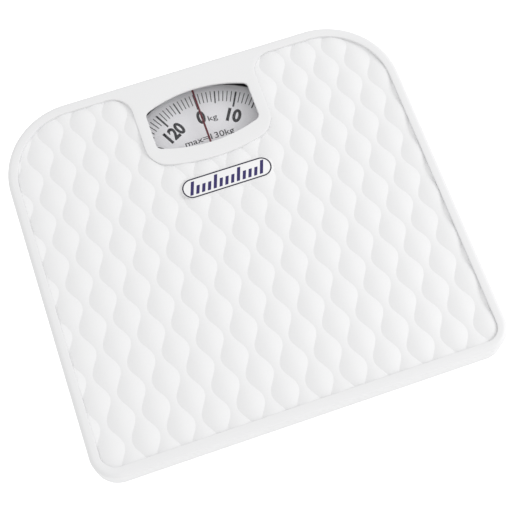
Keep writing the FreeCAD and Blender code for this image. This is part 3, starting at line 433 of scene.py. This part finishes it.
def make_mat():
    """The embossed mat: a grid along the creases, cut to the plan, raised and closed below."""
    columns = RIDGE_COUNT * RIDGE_STEPS
    bpy.ops.object.select_all(action="DESELECT")
    bpy.ops.mesh.primitive_grid_add(x_subdivisions=columns, y_subdivisions=SWELL_ROWS, size=1)
    sheet = bpy.context.object
    for v in sheet.data.vertices:
        place = (v.co.x + 0.5) * RIDGE_COUNT
        column = min(int(place + 1e-6), RIDGE_COUNT - 1)
        y = MAT_NEAR - GRID_MARGIN + (v.co.y + 0.5) * (MAT_FAR - MAT_NEAR + 2 * GRID_MARGIN)
        half = RIDGE_PITCH / 2 + swell(column, y)
        x = RIDGE_FIRST + RIDGE_PITCH * column + (2 * (place - column) - 1) * half
        v.co = (x * MM, y * MM, 0)
    walls = []
    for inward in EDGE_LOOPS:
        wall = mat_outline("wall", -inward, -1)
        edit(wall, "EDGE")
        take_all()
        bpy.ops.mesh.delete(type="ONLY_FACE")
        take_all()
        bpy.ops.mesh.extrude_edges_move(TRANSFORM_OT_translate={"value": (0, 0, 2 * MM)})
        leave()
        walls.append(wall)
    mat = join("mat_sheet", *walls, sheet)
    edit(mat)
    pick(mat, "faces", lambda f: abs(f.normal.z) < 0.5)
    bpy.ops.mesh.intersect(mode="SELECT_UNSELECT", separate_mode="NONE", solver="EXACT")
    pick(mat, "faces", lambda f: abs(f.normal.z) < 0.5 or outside_mat(
        f.calc_center_median().x / MM, f.calc_center_median().y / MM) > 0.001)
    bpy.ops.mesh.delete(type="FACE")
    take_all()
    bpy.ops.mesh.remove_doubles(threshold=MAT_WELD)
    take_all()
    bpy.ops.mesh.normals_make_consistent(inside=False)
    leave()
    for v in mat.data.vertices:
        v.co.z = (MAT_TOP + relief(v.co.x / MM, v.co.y / MM)) * MM
    edit(mat, "EDGE")
    pick(mat, "edges", lambda e: e.is_boundary)
    bpy.ops.mesh.extrude_edges_move(TRANSFORM_OT_translate={"value": (0, 0, -MM)})
    leave()
    for v in mat.data.vertices:
        if v.select:
            v.co.z = (DECK_TOP + MAT_SEAT) * MM
    edit(mat, "EDGE")
    pick(mat, "edges", lambda e: e.is_boundary)
    bpy.ops.mesh.edge_face_add()
    leave()
    tidy_mesh(mat, angle=14)
    return mat


# --- surface effects shared by the finishes -----------------------------------------------------
def add(tree, kind, sockets=None, **settings):
    """Adds a shader node; a socket given for an input is linked, anything else is its value."""
    item = tree.nodes.new(kind)
    for key, value in settings.items():
        setattr(item, key, value)
    for key, value in (sockets or {}).items():
        if isinstance(value, bpy.types.NodeSocket):
            tree.links.new(value, item.inputs[key])
        else:
            item.inputs[key].default_value = value
    return item


def effect(name, inputs, outputs):
    """Starts a node group; returns its tree, its inputs and its output node."""
    tree = bpy.data.node_groups.new(name, "ShaderNodeTree")
    for label, value in inputs.items():
        socket = tree.interface.new_socket(label, in_out="INPUT", socket_type="NodeSocketFloat")
        socket.default_value = value
    for label in outputs:
        tree.interface.new_socket(label, in_out="OUTPUT", socket_type="NodeSocketFloat")
    entry = tree.nodes.new("NodeGroupInput")
    result = tree.nodes.new("NodeGroupOutput")
    return tree, entry.outputs, result


def send(tree, result, label, socket):
    """Links a socket to one of a group's outputs."""
    tree.links.new(socket, result.inputs[label])


def product(tree, first, second, operation="MULTIPLY"):
    """The result of a Math node on two values."""
    return add(tree, "ShaderNodeMath", {0: first, 1: second}, operation=operation).outputs[0]


# The effects' sizes are in millimetres and their textures count cells to the metre; the bend
# of the zinc's crystals and the reach of the wear are in metres
PER_METRE = 1000.0
STREAK_PATCHES = 70.0
BLOOM_BEND = 0.0012
WEAR_SPOTS = 260.0
WEAR_REACH = 0.0007
DUST_CLOUDS = 45.0


def moulded_grain():
    """Fine even grain of a moulded or sprayed skin, and slow patches of tone."""
    tree, given, result = effect("moulded_grain", {"Size": 0.5, "Patch size": 30.0},
                                 ("Height", "Patches"))
    place = add(tree, "ShaderNodeTexCoord").outputs["Object"]
    for size, label, detail in (("Size", "Height", 2.0), ("Patch size", "Patches", 4.0)):
        scale = product(tree, PER_METRE, given[size], "DIVIDE")
        noise = add(tree, "ShaderNodeTexNoise", {"Vector": place, "Scale": scale,
                                                 "Detail": detail, "Roughness": 0.55})
        send(tree, result, label, noise.outputs["Fac"])
    return tree


def drawn_streaks():
    """Fine lines left by rolling or drawing, along the piece's length."""
    tree, given, result = effect("drawn_streaks", {"Width": 0.3, "Along": 0.04, "Across": 1.0},
                                 ("Height", "Patches"))
    place = add(tree, "ShaderNodeTexCoord").outputs["Object"]
    squeeze = add(tree, "ShaderNodeCombineXYZ", {
        "X": given["Across"], "Y": given["Along"], "Z": given["Across"]}).outputs[0]
    lean = add(tree, "ShaderNodeVectorMath", {0: place, 1: squeeze},
               operation="MULTIPLY").outputs[0]
    scale = product(tree, PER_METRE, given["Width"], "DIVIDE")
    fine = add(tree, "ShaderNodeTexNoise", {"Vector": lean, "Scale": scale, "Detail": 3.0})
    wide = add(tree, "ShaderNodeTexNoise", {"Vector": place, "Scale": STREAK_PATCHES,
                                            "Detail": 4.0})
    send(tree, result, "Height", fine.outputs["Fac"])
    send(tree, result, "Patches", wide.outputs["Fac"])
    return tree


def zinc_bloom():
    """The soft crystal pattern of a zinc plated sheet."""
    tree, given, result = effect("zinc_bloom", {"Crystal": 3.0}, ("Height", "Patches"))
    place = add(tree, "ShaderNodeTexCoord").outputs["Object"]
    scale = product(tree, PER_METRE, given["Crystal"], "DIVIDE")
    warp = add(tree, "ShaderNodeTexNoise", {"Vector": place, "Scale": scale, "Detail": 2.0})
    bent = add(tree, "ShaderNodeVectorMath", {0: warp.outputs["Color"], 1: (BLOOM_BEND,) * 3,
                                              2: place}, operation="MULTIPLY_ADD").outputs[0]
    cells = add(tree, "ShaderNodeTexVoronoi", {"Vector": bent, "Scale": scale}, feature="F1")
    tone = add(tree, "ShaderNodeSeparateColor", {"Color": cells.outputs["Color"]}).outputs[0]
    send(tree, result, "Height", warp.outputs["Fac"])
    send(tree, result, "Patches", tone)
    return tree


def edge_wear():
    """Marks the worn outer edges of a piece, broken up by a little noise."""
    tree, given, result = effect("edge_wear", {"Amount": 0.5}, ("Mask",))
    rounded = add(tree, "ShaderNodeBevel", {"Radius": WEAR_REACH}, samples=4).outputs[0]
    plain = add(tree, "ShaderNodeNewGeometry").outputs["Normal"]
    likeness = add(tree, "ShaderNodeVectorMath", {0: rounded, 1: plain},
                   operation="DOT_PRODUCT").outputs["Value"]
    edge = add(tree, "ShaderNodeMapRange", {"Value": likeness, "From Min": 0.99,
                                            "From Max": 0.85}).outputs[0]
    place = add(tree, "ShaderNodeTexCoord").outputs["Object"]
    spots = add(tree, "ShaderNodeTexNoise", {"Vector": place, "Scale": WEAR_SPOTS, "Detail": 5.0})
    broken = add(tree, "ShaderNodeMapRange", {"Value": spots.outputs["Fac"], "From Min": 0.4,
                                              "From Max": 0.6}).outputs[0]
    send(tree, result, "Mask", product(tree, product(tree, edge, broken), given["Amount"]))
    return tree


def settled_dust():
    """A thin film of dust on the faces that look up."""
    tree, given, result = effect("settled_dust", {"Amount": 0.2}, ("Mask",))
    facing = add(tree, "ShaderNodeSeparateXYZ", {
        "Vector": add(tree, "ShaderNodeNewGeometry").outputs["Normal"]}).outputs["Z"]
    upward = add(tree, "ShaderNodeMapRange", {"Value": facing, "From Min": 0.4}).outputs[0]
    place = add(tree, "ShaderNodeTexCoord").outputs["Object"]
    cloud = add(tree, "ShaderNodeTexNoise", {"Vector": place, "Scale": DUST_CLOUDS, "Detail": 6.0})
    film = product(tree, upward, cloud.outputs["Fac"])
    send(tree, result, "Mask", product(tree, film, given["Amount"]))
    return tree


EFFECTS = {"moulded": moulded_grain(), "drawn": drawn_streaks(), "zinc": zinc_bloom()}
WEAR = edge_wear()
DUST = settled_dust()
DUST_COLOUR = (0.42, 0.40, 0.37)


def blend_colour(tree, amount, first, second):
    """Mixes two colours; the Mix node's sockets for colours are 6 and 7, its colour result 2."""
    return add(tree, "ShaderNodeMix", {0: amount, 6: first, 7: second},
               data_type="RGBA").outputs[2]


def finish(name, colour, shade, rough, metallic=0.0, skin="moulded", depth=0.01, wear=0.0,
           worn=None, dust=0.0, sizes=None, **constants):
    """A material: two tones in soft patches, worn edges, dust, uneven gloss and a fine skin."""
    material = bpy.data.materials.new(name)
    material.use_nodes = True
    tree = material.node_tree
    shader = tree.nodes["Principled BSDF"]
    surface = add(tree, "ShaderNodeGroup", sizes, node_tree=EFFECTS[skin])
    patches, grain = surface.outputs["Patches"], surface.outputs["Height"]
    tone = blend_colour(tree, patches, (*colour, 1), (*shade, 1))
    if wear:
        rubbed = add(tree, "ShaderNodeGroup", {"Amount": wear}, node_tree=WEAR)
        tone = blend_colour(tree, rubbed.outputs["Mask"], tone, (*worn, 1))
    if dust:
        film = add(tree, "ShaderNodeGroup", {"Amount": dust}, node_tree=DUST)
        tone = blend_colour(tree, film.outputs["Mask"], tone, (*DUST_COLOUR, 1))
    tree.links.new(tone, shader.inputs["Base Color"])
    gloss = add(tree, "ShaderNodeMapRange", {"Value": patches, "From Min": 0.25,
                                             "From Max": 0.75, "To Min": rough[0],
                                             "To Max": rough[1]}).outputs[0]
    tree.links.new(gloss, shader.inputs["Roughness"])
    bump = add(tree, "ShaderNodeBump", {"Height": grain, "Strength": 1.0,
                                        "Distance": depth * MM})
    tree.links.new(bump.outputs["Normal"], shader.inputs["Normal"])
    shader.inputs["Metallic"].default_value = metallic
    for key, value in constants.items():
        shader.inputs[key.replace("_", " ")].default_value = value
    return material


def dress(piece, material):
    """Gives a piece or a CAD node one material."""
    piece.data.materials.clear()
    piece.data.materials.append(material)


COVER = finish("white_cover", (0.83, 0.83, 0.835), (0.815, 0.815, 0.82), (0.36, 0.46),
               depth=0.006, sizes={"Size": 0.45, "Patch size": 60.0}, wear=0.12,
               worn=(0.87, 0.87, 0.87))
MAT_VINYL = finish("mat_vinyl", (0.85, 0.85, 0.855), (0.835, 0.835, 0.84), (0.5, 0.66),
                   depth=0.012, sizes={"Size": 0.7, "Patch size": 45.0})
BADGE_WHITE = finish("badge_plate", (0.9, 0.9, 0.905), (0.885, 0.885, 0.89), (0.22, 0.3),
                     depth=0.003, sizes={"Size": 0.8, "Patch size": 20.0}, Coat_Weight=0.3)
BADGE_INK = finish("badge_ink", (0.022, 0.014, 0.11), (0.028, 0.018, 0.13), (0.3, 0.42),
                   depth=0.004, sizes={"Size": 0.3, "Patch size": 6.0})
OUTLINE_INK = finish("outline_ink", (0.015, 0.013, 0.03), (0.025, 0.022, 0.045), (0.35, 0.45),
                     depth=0.003, sizes={"Size": 0.3, "Patch size": 6.0})
LENS = finish("clear_lens", (0.5, 0.5, 0.52), (0.46, 0.46, 0.48), (0.04, 0.08),
              depth=0.002, sizes={"Size": 4.0, "Patch size": 18.0}, Alpha=0.04, IOR=1.49)
POINTER_RED = finish("pointer_red", (0.19, 0.008, 0.02), (0.13, 0.006, 0.02), (0.3, 0.42),
                     depth=0.004, sizes={"Size": 0.4, "Patch size": 5.0}, wear=0.2,
                     worn=(0.4, 0.05, 0.06))
DIAL_FACE = finish("dial_face", (0.88, 0.875, 0.9), (0.865, 0.86, 0.885), (0.5, 0.62),
                   depth=0.004, sizes={"Size": 0.35, "Patch size": 24.0})
DIAL_INK = finish("dial_ink", (0.022, 0.022, 0.026), (0.035, 0.035, 0.04), (0.5, 0.65),
                  depth=0.004, sizes={"Size": 0.25, "Patch size": 3.0})
TRAY_PAINT = finish("tray_paint", (0.70, 0.70, 0.695), (0.66, 0.66, 0.65), (0.34, 0.48),
                    depth=0.015, sizes={"Size": 1.4, "Patch size": 70.0}, wear=0.5,
                    worn=(0.45, 0.44, 0.42), dust=0.2)
FOOT_RUBBER = finish("foot_rubber", (0.035, 0.035, 0.037), (0.06, 0.058, 0.056), (0.6, 0.85),
                     depth=0.04, sizes={"Size": 0.6, "Patch size": 7.0}, wear=0.5,
                     worn=(0.13, 0.125, 0.12))
LEVER_STEEL = finish("lever_steel", (0.50, 0.51, 0.52), (0.60, 0.61, 0.61), (0.28, 0.48), 1.0,
                     skin="zinc", depth=0.02, sizes={"Crystal": 4.5}, wear=0.5,
                     worn=(0.72, 0.72, 0.72), dust=0.3)
HARD_STEEL = finish("hard_steel", (0.46, 0.46, 0.47), (0.56, 0.56, 0.57), (0.2, 0.34), 1.0,
                    skin="drawn", depth=0.008, sizes={"Width": 0.15, "Along": 0.2}, wear=0.4,
                    worn=(0.8, 0.8, 0.8))
SPRING_WIRE = finish("spring_wire", (0.30, 0.30, 0.31), (0.40, 0.40, 0.41), (0.24, 0.4), 1.0,
                     skin="drawn", depth=0.006, sizes={"Width": 0.12, "Along": 0.3}, dust=0.12)
BRACKET_STEEL = finish("bracket_steel", (0.56, 0.565, 0.55), (0.66, 0.66, 0.63), (0.3, 0.46),
                       1.0, skin="zinc", depth=0.015, sizes={"Crystal": 2.2}, wear=0.5,
                       worn=(0.78, 0.78, 0.77), dust=0.25)
SCREW_STEEL = finish("screw_steel", (0.62, 0.62, 0.64), (0.7, 0.69, 0.66), (0.16, 0.3), 1.0,
                     skin="drawn", depth=0.006, sizes={"Width": 0.1, "Along": 1.0}, wear=0.4,
                     worn=(0.86, 0.86, 0.86))
GEAR_BRASS = finish("gear_brass", (0.66, 0.47, 0.19), (0.74, 0.56, 0.27), (0.2, 0.36), 1.0,
                    skin="drawn", depth=0.006, sizes={"Width": 0.12, "Along": 1.0}, wear=0.4,
                    worn=(0.85, 0.7, 0.42))
KNOB_STEEL = finish("knob_steel", (0.48, 0.48, 0.49), (0.58, 0.58, 0.58), (0.24, 0.38), 1.0,
                    skin="drawn", depth=0.01, sizes={"Width": 0.2, "Along": 1.0}, wear=0.6,
                    worn=(0.8, 0.8, 0.8))
RACK_PLASTIC = finish("rack_plastic", (0.82, 0.81, 0.76), (0.77, 0.755, 0.70), (0.34, 0.5),
                      depth=0.01, sizes={"Size": 0.5, "Patch size": 9.0}, wear=0.3,
                      worn=(0.88, 0.87, 0.84))

LEVERS = ("long_left", "long_right", "short_left", "short_right")
CAD_FINISHES = {
    TRAY_PAINT: ("base_tray",),
    LEVER_STEEL: tuple(f"{k}_lever" for k in LEVERS),
    HARD_STEEL: tuple(f"{k}_lever_knives" for k in LEVERS) + (
        "hanger_pivot_pin", "crank_pivot_pin", "crank_pin", "dial_spindle", "platform_saddles"),
    BRACKET_STEEL: tuple(f"{k}_fulcrum_bracket" for k in LEVERS) + (
        "spring_bracket", "crank_bracket", "rack_guide", "return_spring_anchor", "dial_bridge",
        "retaining_spring_tabs", "calibrating_plate", "spring_hanger", "bell_crank"),
    SPRING_WIRE: ("retaining_springs",),
    SCREW_STEEL: ("bracket_rivets", "bracket_screws", "zero_screw"),
    GEAR_BRASS: ("spindle_bushing", "spindle_step_bearing", "pinion", "dial_nut"),
    KNOB_STEEL: ("zero_knob",),
    RACK_PLASTIC: ("rack", "dial_hub"),
}
for material, names in CAD_FINISHES.items():
    for name in names:
        dress(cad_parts[name], material)


def place_piece(piece, material, body, slot, *nodes):
    """Finishes a piece: its material, the body that it rides on and what it stands for."""
    dress(piece, material)
    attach(piece, body)
    if nodes:
        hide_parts(*nodes)


def raise_plate(piece, thickness, edge=0.0, steps=2):
    """Gives a filled outline its thickness, with a rounded upper edge."""
    edit(piece)
    take_all()
    lift(thickness - edge)
    if edge:
        rounding(edge, steps)
    leave()
    tidy_mesh(piece, angle=30, merge=EDGE_WELD)
    return piece


def round_bar(name, x, y, half_x, half_y, radius, z):
    """A filled rounded rectangle lying flat."""
    a, b = half_x - radius, half_y - radius
    return outline(name, (x + half_x, y - b), (
        (x + half_x, y + b), (x + a, y + b, 90),
        (x - a, y + half_y), (x - a, y + b, 90),
        (x - half_x, y - b), (x - a, y - b, 90),
        (x + a, y - half_y), (x + a, y - b, 90)), z)


place_piece(make_cover(), COVER, "platform", "white_cover", "platform_shell")
place_piece(make_mat(), MAT_VINYL, "platform", "mat_vinyl", "mat")

# --- the badge, with plain graduation strokes ---------------------------------------------------
BADGE_TOP = 41.8
BADGE_EDGE = 0.2
RING_INSET = 0.35
RING_WIDTH = 0.95
STROKE_PITCH = 4.1
STROKE_HALF = 1.15
STROKES = 13
STROKE_TALL = 9.6
STROKE_SHORT = 6.0
STROKE_LEAN = 3.2
STROKE_CORNER = 0.3
LONG_STROKE_EVERY = 4
BADGE_SINK = 0.03
INK_BED = 0.06
INK = 0.05


def make_badge():
    """A white plate with a thin dark outline and a row of leaning graduation strokes."""
    plate = round_bar("badge_plate", BADGE_X, BADGE_Y, BADGE_HALF, BADGE_ROUND, BADGE_END,
                      MAT_TOP)
    raise_plate(plate, BADGE_TOP - MAT_TOP - BADGE_SINK, BADGE_EDGE, 3)
    place_piece(plate, BADGE_WHITE, "platform", "badge_plate", "badge")

    ring = round_bar("badge_outline", BADGE_X, BADGE_Y, BADGE_HALF - RING_INSET,
                     BADGE_ROUND - RING_INSET, BADGE_END - RING_INSET,
                     BADGE_TOP - INK_BED)
    edit(ring)
    take_all()
    step_in(RING_WIDTH, 0)
    bpy.ops.mesh.delete(type="FACE")
    take_all()
    lift(INK)
    leave()
    tidy_mesh(ring, 30, merge=2e-7)
    place_piece(ring, OUTLINE_INK, "platform", "badge_plate")

    bars = []
    for k in range(STROKES):
        tall = STROKE_TALL if k % LONG_STROKE_EVERY == 0 else STROKE_SHORT
        x = BADGE_X + (k - (STROKES - 1) / 2) * STROKE_PITCH
        low = BADGE_Y - STROKE_TALL / 2
        bar = round_bar("bar", x, low + tall / 2, STROKE_HALF, tall / 2, STROKE_CORNER,
                        BADGE_TOP - INK_BED)
        edit(bar, "VERT")
        pick(bar, "verts", lambda v: v.co.y / MM > low + tall / 2)
        lean = STROKE_LEAN * tall / STROKE_TALL
        bpy.ops.transform.translate(value=(lean * MM, 0, 0))
        leave()
        raise_plate(bar, INK)
        bars.append(bar)
    strokes = join("badge_strokes", *bars)
    edit(strokes, "VERT")
    take_all()
    bpy.ops.transform.translate(value=(-STROKE_LEAN / 2 * MM, 0, 0))
    leave()
    place_piece(strokes, BADGE_INK, "platform", "badge_plate")


make_badge()

# --- the window's lens and the pointer ----------------------------------------------------------
LENS_HALF_WIDTH = 42.0
LENS_NEAR = 63.5
LENS_FAR = 116.5
LENS_LOW = 35.2
LENS_TOP = 36.6
LENS_CORNER = 3.0
LENS_EDGE = 0.3
POINTER_HALF = 0.7
POINTER_NEAR = 65.0
POINTER_FAR = 115.0
POINTER_LOW = 34.7
POINTER_CORNER = 0.4
POINTER_EDGE = 0.15

lens = round_bar("lens_pane", 0, (LENS_NEAR + LENS_FAR) / 2, LENS_HALF_WIDTH,
                 (LENS_FAR - LENS_NEAR) / 2, LENS_CORNER, LENS_LOW)
raise_plate(lens, LENS_TOP - LENS_LOW, LENS_EDGE)
place_piece(lens, LENS, "platform", "clear_lens", "window_lens")

pointer = round_bar("pointer_bar", 0, (POINTER_NEAR + POINTER_FAR) / 2, POINTER_HALF,
                    (POINTER_FAR - POINTER_NEAR) / 2, POINTER_CORNER, POINTER_LOW)
raise_plate(pointer, LENS_LOW - POINTER_LOW, POINTER_EDGE)
place_piece(pointer, POINTER_RED, "platform", "pointer_red", "pointer")

# --- the dial and its printing ------------------------------------------------------------------
PRINT = 0.05
DIAL_SIDES = 180
DIAL_EDGE = 0.15
DIAL_FACE_WIDTH = 54.0
DIAL_SEAT_STEP = 0.8
TICK_CORNER = 0.08
# Every so many kilograms, a tick's length and half its width
TICKS = ((1, 8.2, 0.3), (5, 9.6, 0.45), (10, 12.0, 0.65))
DIGIT_TALL = 10.4
DIGIT_RADIUS = 44.9
DIGIT_WIDTHS = {1: 6.0, 2: 10.0, 3: 14.6}
DIGIT_SHIFT = {2: 2.2}
BOLD = 0.042
PLAIN = 0.003
CURVE_STEPS = 4
# The words on the dial: their width, their height and the middle of their box
UNIT = ("unit", "kg", 6.6, 5.6, 7.6, 91.6)
LIMIT = ("capacity", "max=130kg", 35.4, 5.9, 1.0, 77.9)


def turn_about_dial(degrees_clockwise):
    bpy.ops.transform.rotate(value=math.radians(degrees_clockwise), orient_axis="Z",
                             center_override=(0, DIAL_Y * MM, 0))


def lettering(name, text, wide, tall, x, y, weight):
    """Letters as a thin raised print, with the middle of their box at x, y."""
    bpy.ops.object.select_all(action="DESELECT")
    bpy.ops.object.text_add()
    words = bpy.context.object
    words.data.body = text
    words.data.offset = weight
    words.data.resolution_u = CURVE_STEPS
    bpy.ops.object.convert(target="MESH")
    words = bpy.context.object
    words.name = name
    spans = [[v.co[axis] for v in words.data.vertices] for axis in (0, 1)]
    low_x, high_x, low_y, high_y = (f(s) for s in spans for f in (min, max))
    edit(words, "VERT")
    take_all()
    bpy.ops.transform.translate(value=(-(low_x + high_x) / 2, -(low_y + high_y) / 2, 0))
    bpy.ops.transform.resize(value=(wide * MM / (high_x - low_x), tall * MM / (high_y - low_y),
                                    1), center_override=(0, 0, 0))
    bpy.ops.transform.translate(value=(x * MM, y * MM, DIAL_TOP * MM))
    bpy.ops.mesh.dissolve_limited(angle_limit=math.radians(1))
    take_all()
    lift(PRINT)
    leave()
    return words


def make_tick(kilograms):
    tall, half = [size for every, *size in TICKS if kilograms % every == 0][-1]
    tick = round_bar("tick", 0, DIAL_Y + TICK_RADIUS - tall / 2, half, tall / 2, TICK_CORNER,
                     DIAL_TOP)
    edit(tick)
    take_all()
    lift(PRINT)
    take_all()
    turn_about_dial(360 * kilograms / CAPACITY)
    leave()
    return tick


def make_dial():
    """The turning disc, and its ticks, numbers and words as one thin raised print."""
    bpy.ops.object.select_all(action="DESELECT")
    bpy.ops.mesh.primitive_circle_add(vertices=DIAL_SIDES, radius=DIAL_RADIUS * MM,
                                      fill_type="NGON")
    disc = bpy.context.object
    disc.name = "dial_face_disc"
    edit(disc)
    take_all()
    bpy.ops.transform.translate(value=(0, DIAL_Y * MM, DIAL_LOW * MM))
    lift(DIAL_TOP - DIAL_LOW - DIAL_EDGE)
    step_in(DIAL_EDGE, DIAL_EDGE)
    step_in(DIAL_FACE_WIDTH, 0)
    step_in(DIAL_SEAT_STEP, -DIAL_EDGE)
    leave()
    tidy_mesh(disc, 25)
    place_piece(disc, DIAL_FACE, "dial", "dial_face", "dial_disc")

    prints = [make_tick(k) for k in range(CAPACITY)]
    for value in range(0, CAPACITY, 10):
        text = str(value)
        number = lettering("number", text, DIGIT_WIDTHS[len(text)], DIGIT_TALL, 0,
                           DIAL_Y + DIGIT_RADIUS, BOLD)
        edit(number)
        take_all()
        turn_about_dial(360 * value / CAPACITY + DIGIT_SHIFT.get(len(text), 0))
        leave()
        prints.append(number)
    prints.append(lettering(*UNIT, PLAIN))
    prints.append(lettering(*LIMIT, PLAIN))
    printing = join("dial_printing", *prints)
    place_piece(printing, DIAL_INK, "dial", "dial_face")


make_dial()

# --- the feet -----------------------------------------------------------------------------------
FOOT_TOP = 7.0
FOOT_EDGE = ((1.036, 0.1), (1.028, 0.25), (1.015, 0.45))
FOOT_GROOVES = 3
FOOT_BAND = 0.7
FOOT_GROOVE_HEIGHT = 0.5
FOOT_GROOVE_DEPTH = 0.4
FOOT_SOLE_INSET = 0.9
FOOT_SOLE_AREA = 1e-4
FOOT_SIDES = 72
# The hollow in the sole: how far in each step goes, and how far out of the sole
FOOT_HOLLOW = ((2.2, 0.0), (0.3, -0.3), (1.2, -0.5), (2.5, -0.3))


def make_foot(node):
    """A ribbed rubber foot under the tray, with a hollow sole."""
    low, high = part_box(node)
    radius = (high.x - low.x) / 2 / MM
    x, y = (low.x + high.x) / 2, (low.y + high.y) / 2
    bpy.ops.object.select_all(action="DESELECT")
    bpy.ops.mesh.primitive_circle_add(vertices=FOOT_SIDES, fill_type="NGON",
                                      radius=(radius - FOOT_SOLE_INSET) * MM)
    foot = bpy.context.object
    foot.name = node.replace("foot", "rubber_foot")
    edit(foot)
    take_all()
    bpy.ops.transform.translate(value=(x, y, 0))
    centre = (x / MM, y / MM)
    for growth, rise in FOOT_EDGE:
        lift(rise)
        bpy.ops.transform.resize(value=(growth, growth, 1), center_override=(x, y, 0))
    regain = radius / (radius - FOOT_GROOVE_DEPTH)
    for _ in range(FOOT_GROOVES):
        lift(FOOT_BAND)
        step_in(FOOT_GROOVE_DEPTH, 0)
        lift(FOOT_GROOVE_HEIGHT)
        widen(regain, regain, centre)
    ribbed = FOOT_GROOVES * (FOOT_BAND + FOOT_GROOVE_HEIGHT)
    lift(FOOT_TOP - sum(rise for _, rise in FOOT_EDGE) - ribbed)
    pick(foot, "faces", lambda f: f.normal.z < -0.9 and f.calc_area() > FOOT_SOLE_AREA)
    for inward, rise in FOOT_HOLLOW:
        step_in(inward, rise)
    leave()
    tidy_mesh(foot, angle=40)
    place_piece(foot, FOOT_RUBBER, "base", "foot_rubber", node)


for node in ("foot_near_left", "foot_near_right", "foot_far_left", "foot_far_right"):
    make_foot(node)


# --- the coil springs ---------------------------------------------------------------------------
WIRE_SIDES = 10
TURN_STEPS = 36
MAIN_WIRE, MAIN_TURNS = 0.0008, 4
RETURN_WIRE, RETURN_TURNS = 0.0003, 26


def coil(name, node, wire, turns, lying=False):
    """A round wire wound to fill the box of a CAD spring, upright or along Y."""
    low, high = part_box(node)
    size = high - low
    length = (size.y if lying else size.z) - 2 * wire
    radius = size.x / 2 - wire
    bpy.ops.object.select_all(action="DESELECT")
    bpy.ops.mesh.primitive_circle_add(vertices=WIRE_SIDES, radius=wire)
    spring = bpy.context.object
    spring.name = name
    edit(spring, "VERT")
    take_all()
    bpy.ops.transform.rotate(value=math.pi / 2, orient_axis="X", center_override=(0, 0, 0))
    bpy.ops.transform.translate(value=(radius, 0, 0))
    leave()
    wind = spring.modifiers.new("wind", "SCREW")
    wind.axis = "Z"
    wind.angle = 2 * math.pi
    wind.iterations = turns
    wind.screw_offset = length / turns
    wind.steps = wind.render_steps = TURN_STEPS
    wind.use_merge_vertices = False
    bpy.ops.object.modifier_apply(modifier=wind.name)
    edit(spring, "EDGE")
    pick(spring, "edges", lambda e: e.is_boundary)
    bpy.ops.mesh.edge_face_add()
    take_all()
    if lying:
        bpy.ops.transform.rotate(value=math.pi / 2, orient_axis="X", center_override=(0, 0, 0))
    leave()
    box_low = Vector(min(v.co[k] for v in spring.data.vertices) for k in range(3))
    box_high = Vector(max(v.co[k] for v in spring.data.vertices) for k in range(3))
    edit(spring, "VERT")
    take_all()
    bpy.ops.transform.translate(value=(low + high) / 2 - (box_low + box_high) / 2)
    leave()
    tidy_mesh(spring, angle=60)
    dress(spring, SPRING_WIRE)
    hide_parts(node)
    return spring, low, high


main_spring, low, high = coil("main_spring_coil", "main_spring", MAIN_WIRE, MAIN_TURNS)
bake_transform(main_spring)
return_spring, low, high = coil("return_spring_coil", "return_spring", RETURN_WIRE, RETURN_TURNS,
                                lying=True)
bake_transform(return_spring)

# --- the camera, the floor and the light --------------------------------------------------------
CAMERA_LENS = 82.64
CAMERA_SENSOR = 36.0
CAMERA_NEAREST = 0.01
CAMERA_PLACE = (-0.0805, -0.2765, 0.7703)
CAMERA_RIGHT = (0.946, -0.3242, -0.0065)
CAMERA_BACK = (-0.1063, -0.3289, 0.9384)
FLOOR_SIZE = 30
FLOOR_CAST, FLOOR_SHOWN = 0.2, 0.9
WORLD_LIGHT = 0.86

camera_data = bpy.data.cameras.new("camera")
camera_data.lens = CAMERA_LENS
camera_data.sensor_width = CAMERA_SENSOR
camera_data.clip_start = CAMERA_NEAREST
camera = bpy.data.objects.new("camera", camera_data)
bpy.context.scene.collection.objects.link(camera)
right = Vector(CAMERA_RIGHT)
back = Vector(CAMERA_BACK).normalized()
right = (right - back * right.dot(back)).normalized()
up = back.cross(right)
turn = Matrix((right, up, back)).transposed().to_4x4()
camera.matrix_world = Matrix.Translation(CAMERA_PLACE) @ turn
bpy.context.scene.camera = camera

bpy.ops.object.select_all(action="DESELECT")
bpy.ops.mesh.primitive_plane_add(size=FLOOR_SIZE)
floor = bpy.context.object
floor.name = "floor"
dress(floor, finish("floor_white", (0.9, 0.9, 0.9), (0.89, 0.89, 0.89), (0.85, 0.95)))
tree = floor.data.materials[0].node_tree
shader = tree.nodes["Principled BSDF"]
shader.inputs["Emission Color"].default_value = (1, 1, 1, 1)
# The floor looks bright but lights the piece's walls only a little
seen = add(tree, "ShaderNodeLightPath").outputs["Is Camera Ray"]
glow = add(tree, "ShaderNodeMapRange", {"Value": seen, "To Min": FLOOR_CAST,
                                          "To Max": FLOOR_SHOWN})
tree.links.new(glow.outputs[0], shader.inputs["Emission Strength"])

world = bpy.data.worlds.new("studio")
world.use_nodes = True
sky = world.node_tree.nodes["Background"]
sky.inputs["Color"].default_value = (1, 1, 1, 1)
sky.inputs["Strength"].default_value = WORLD_LIGHT
bpy.context.scene.world = world


def softbox(name, place, target, size, power):
    lamp = bpy.data.lights.new(name, "AREA")
    lamp.shape = "SQUARE"
    lamp.size = size
    lamp.energy = power
    item = bpy.data.objects.new(name, lamp)
    bpy.context.scene.collection.objects.link(item)
    item.location = place
    item.rotation_euler = (Vector(target) - Vector(place)).to_track_quat("-Z", "Y").to_euler()


softbox("key", place=(1.9, -0.5, 1.5), target=(0, 0, 0.04), size=1.2, power=17.5)
bpy.context.scene.view_settings.view_transform = "Standard"
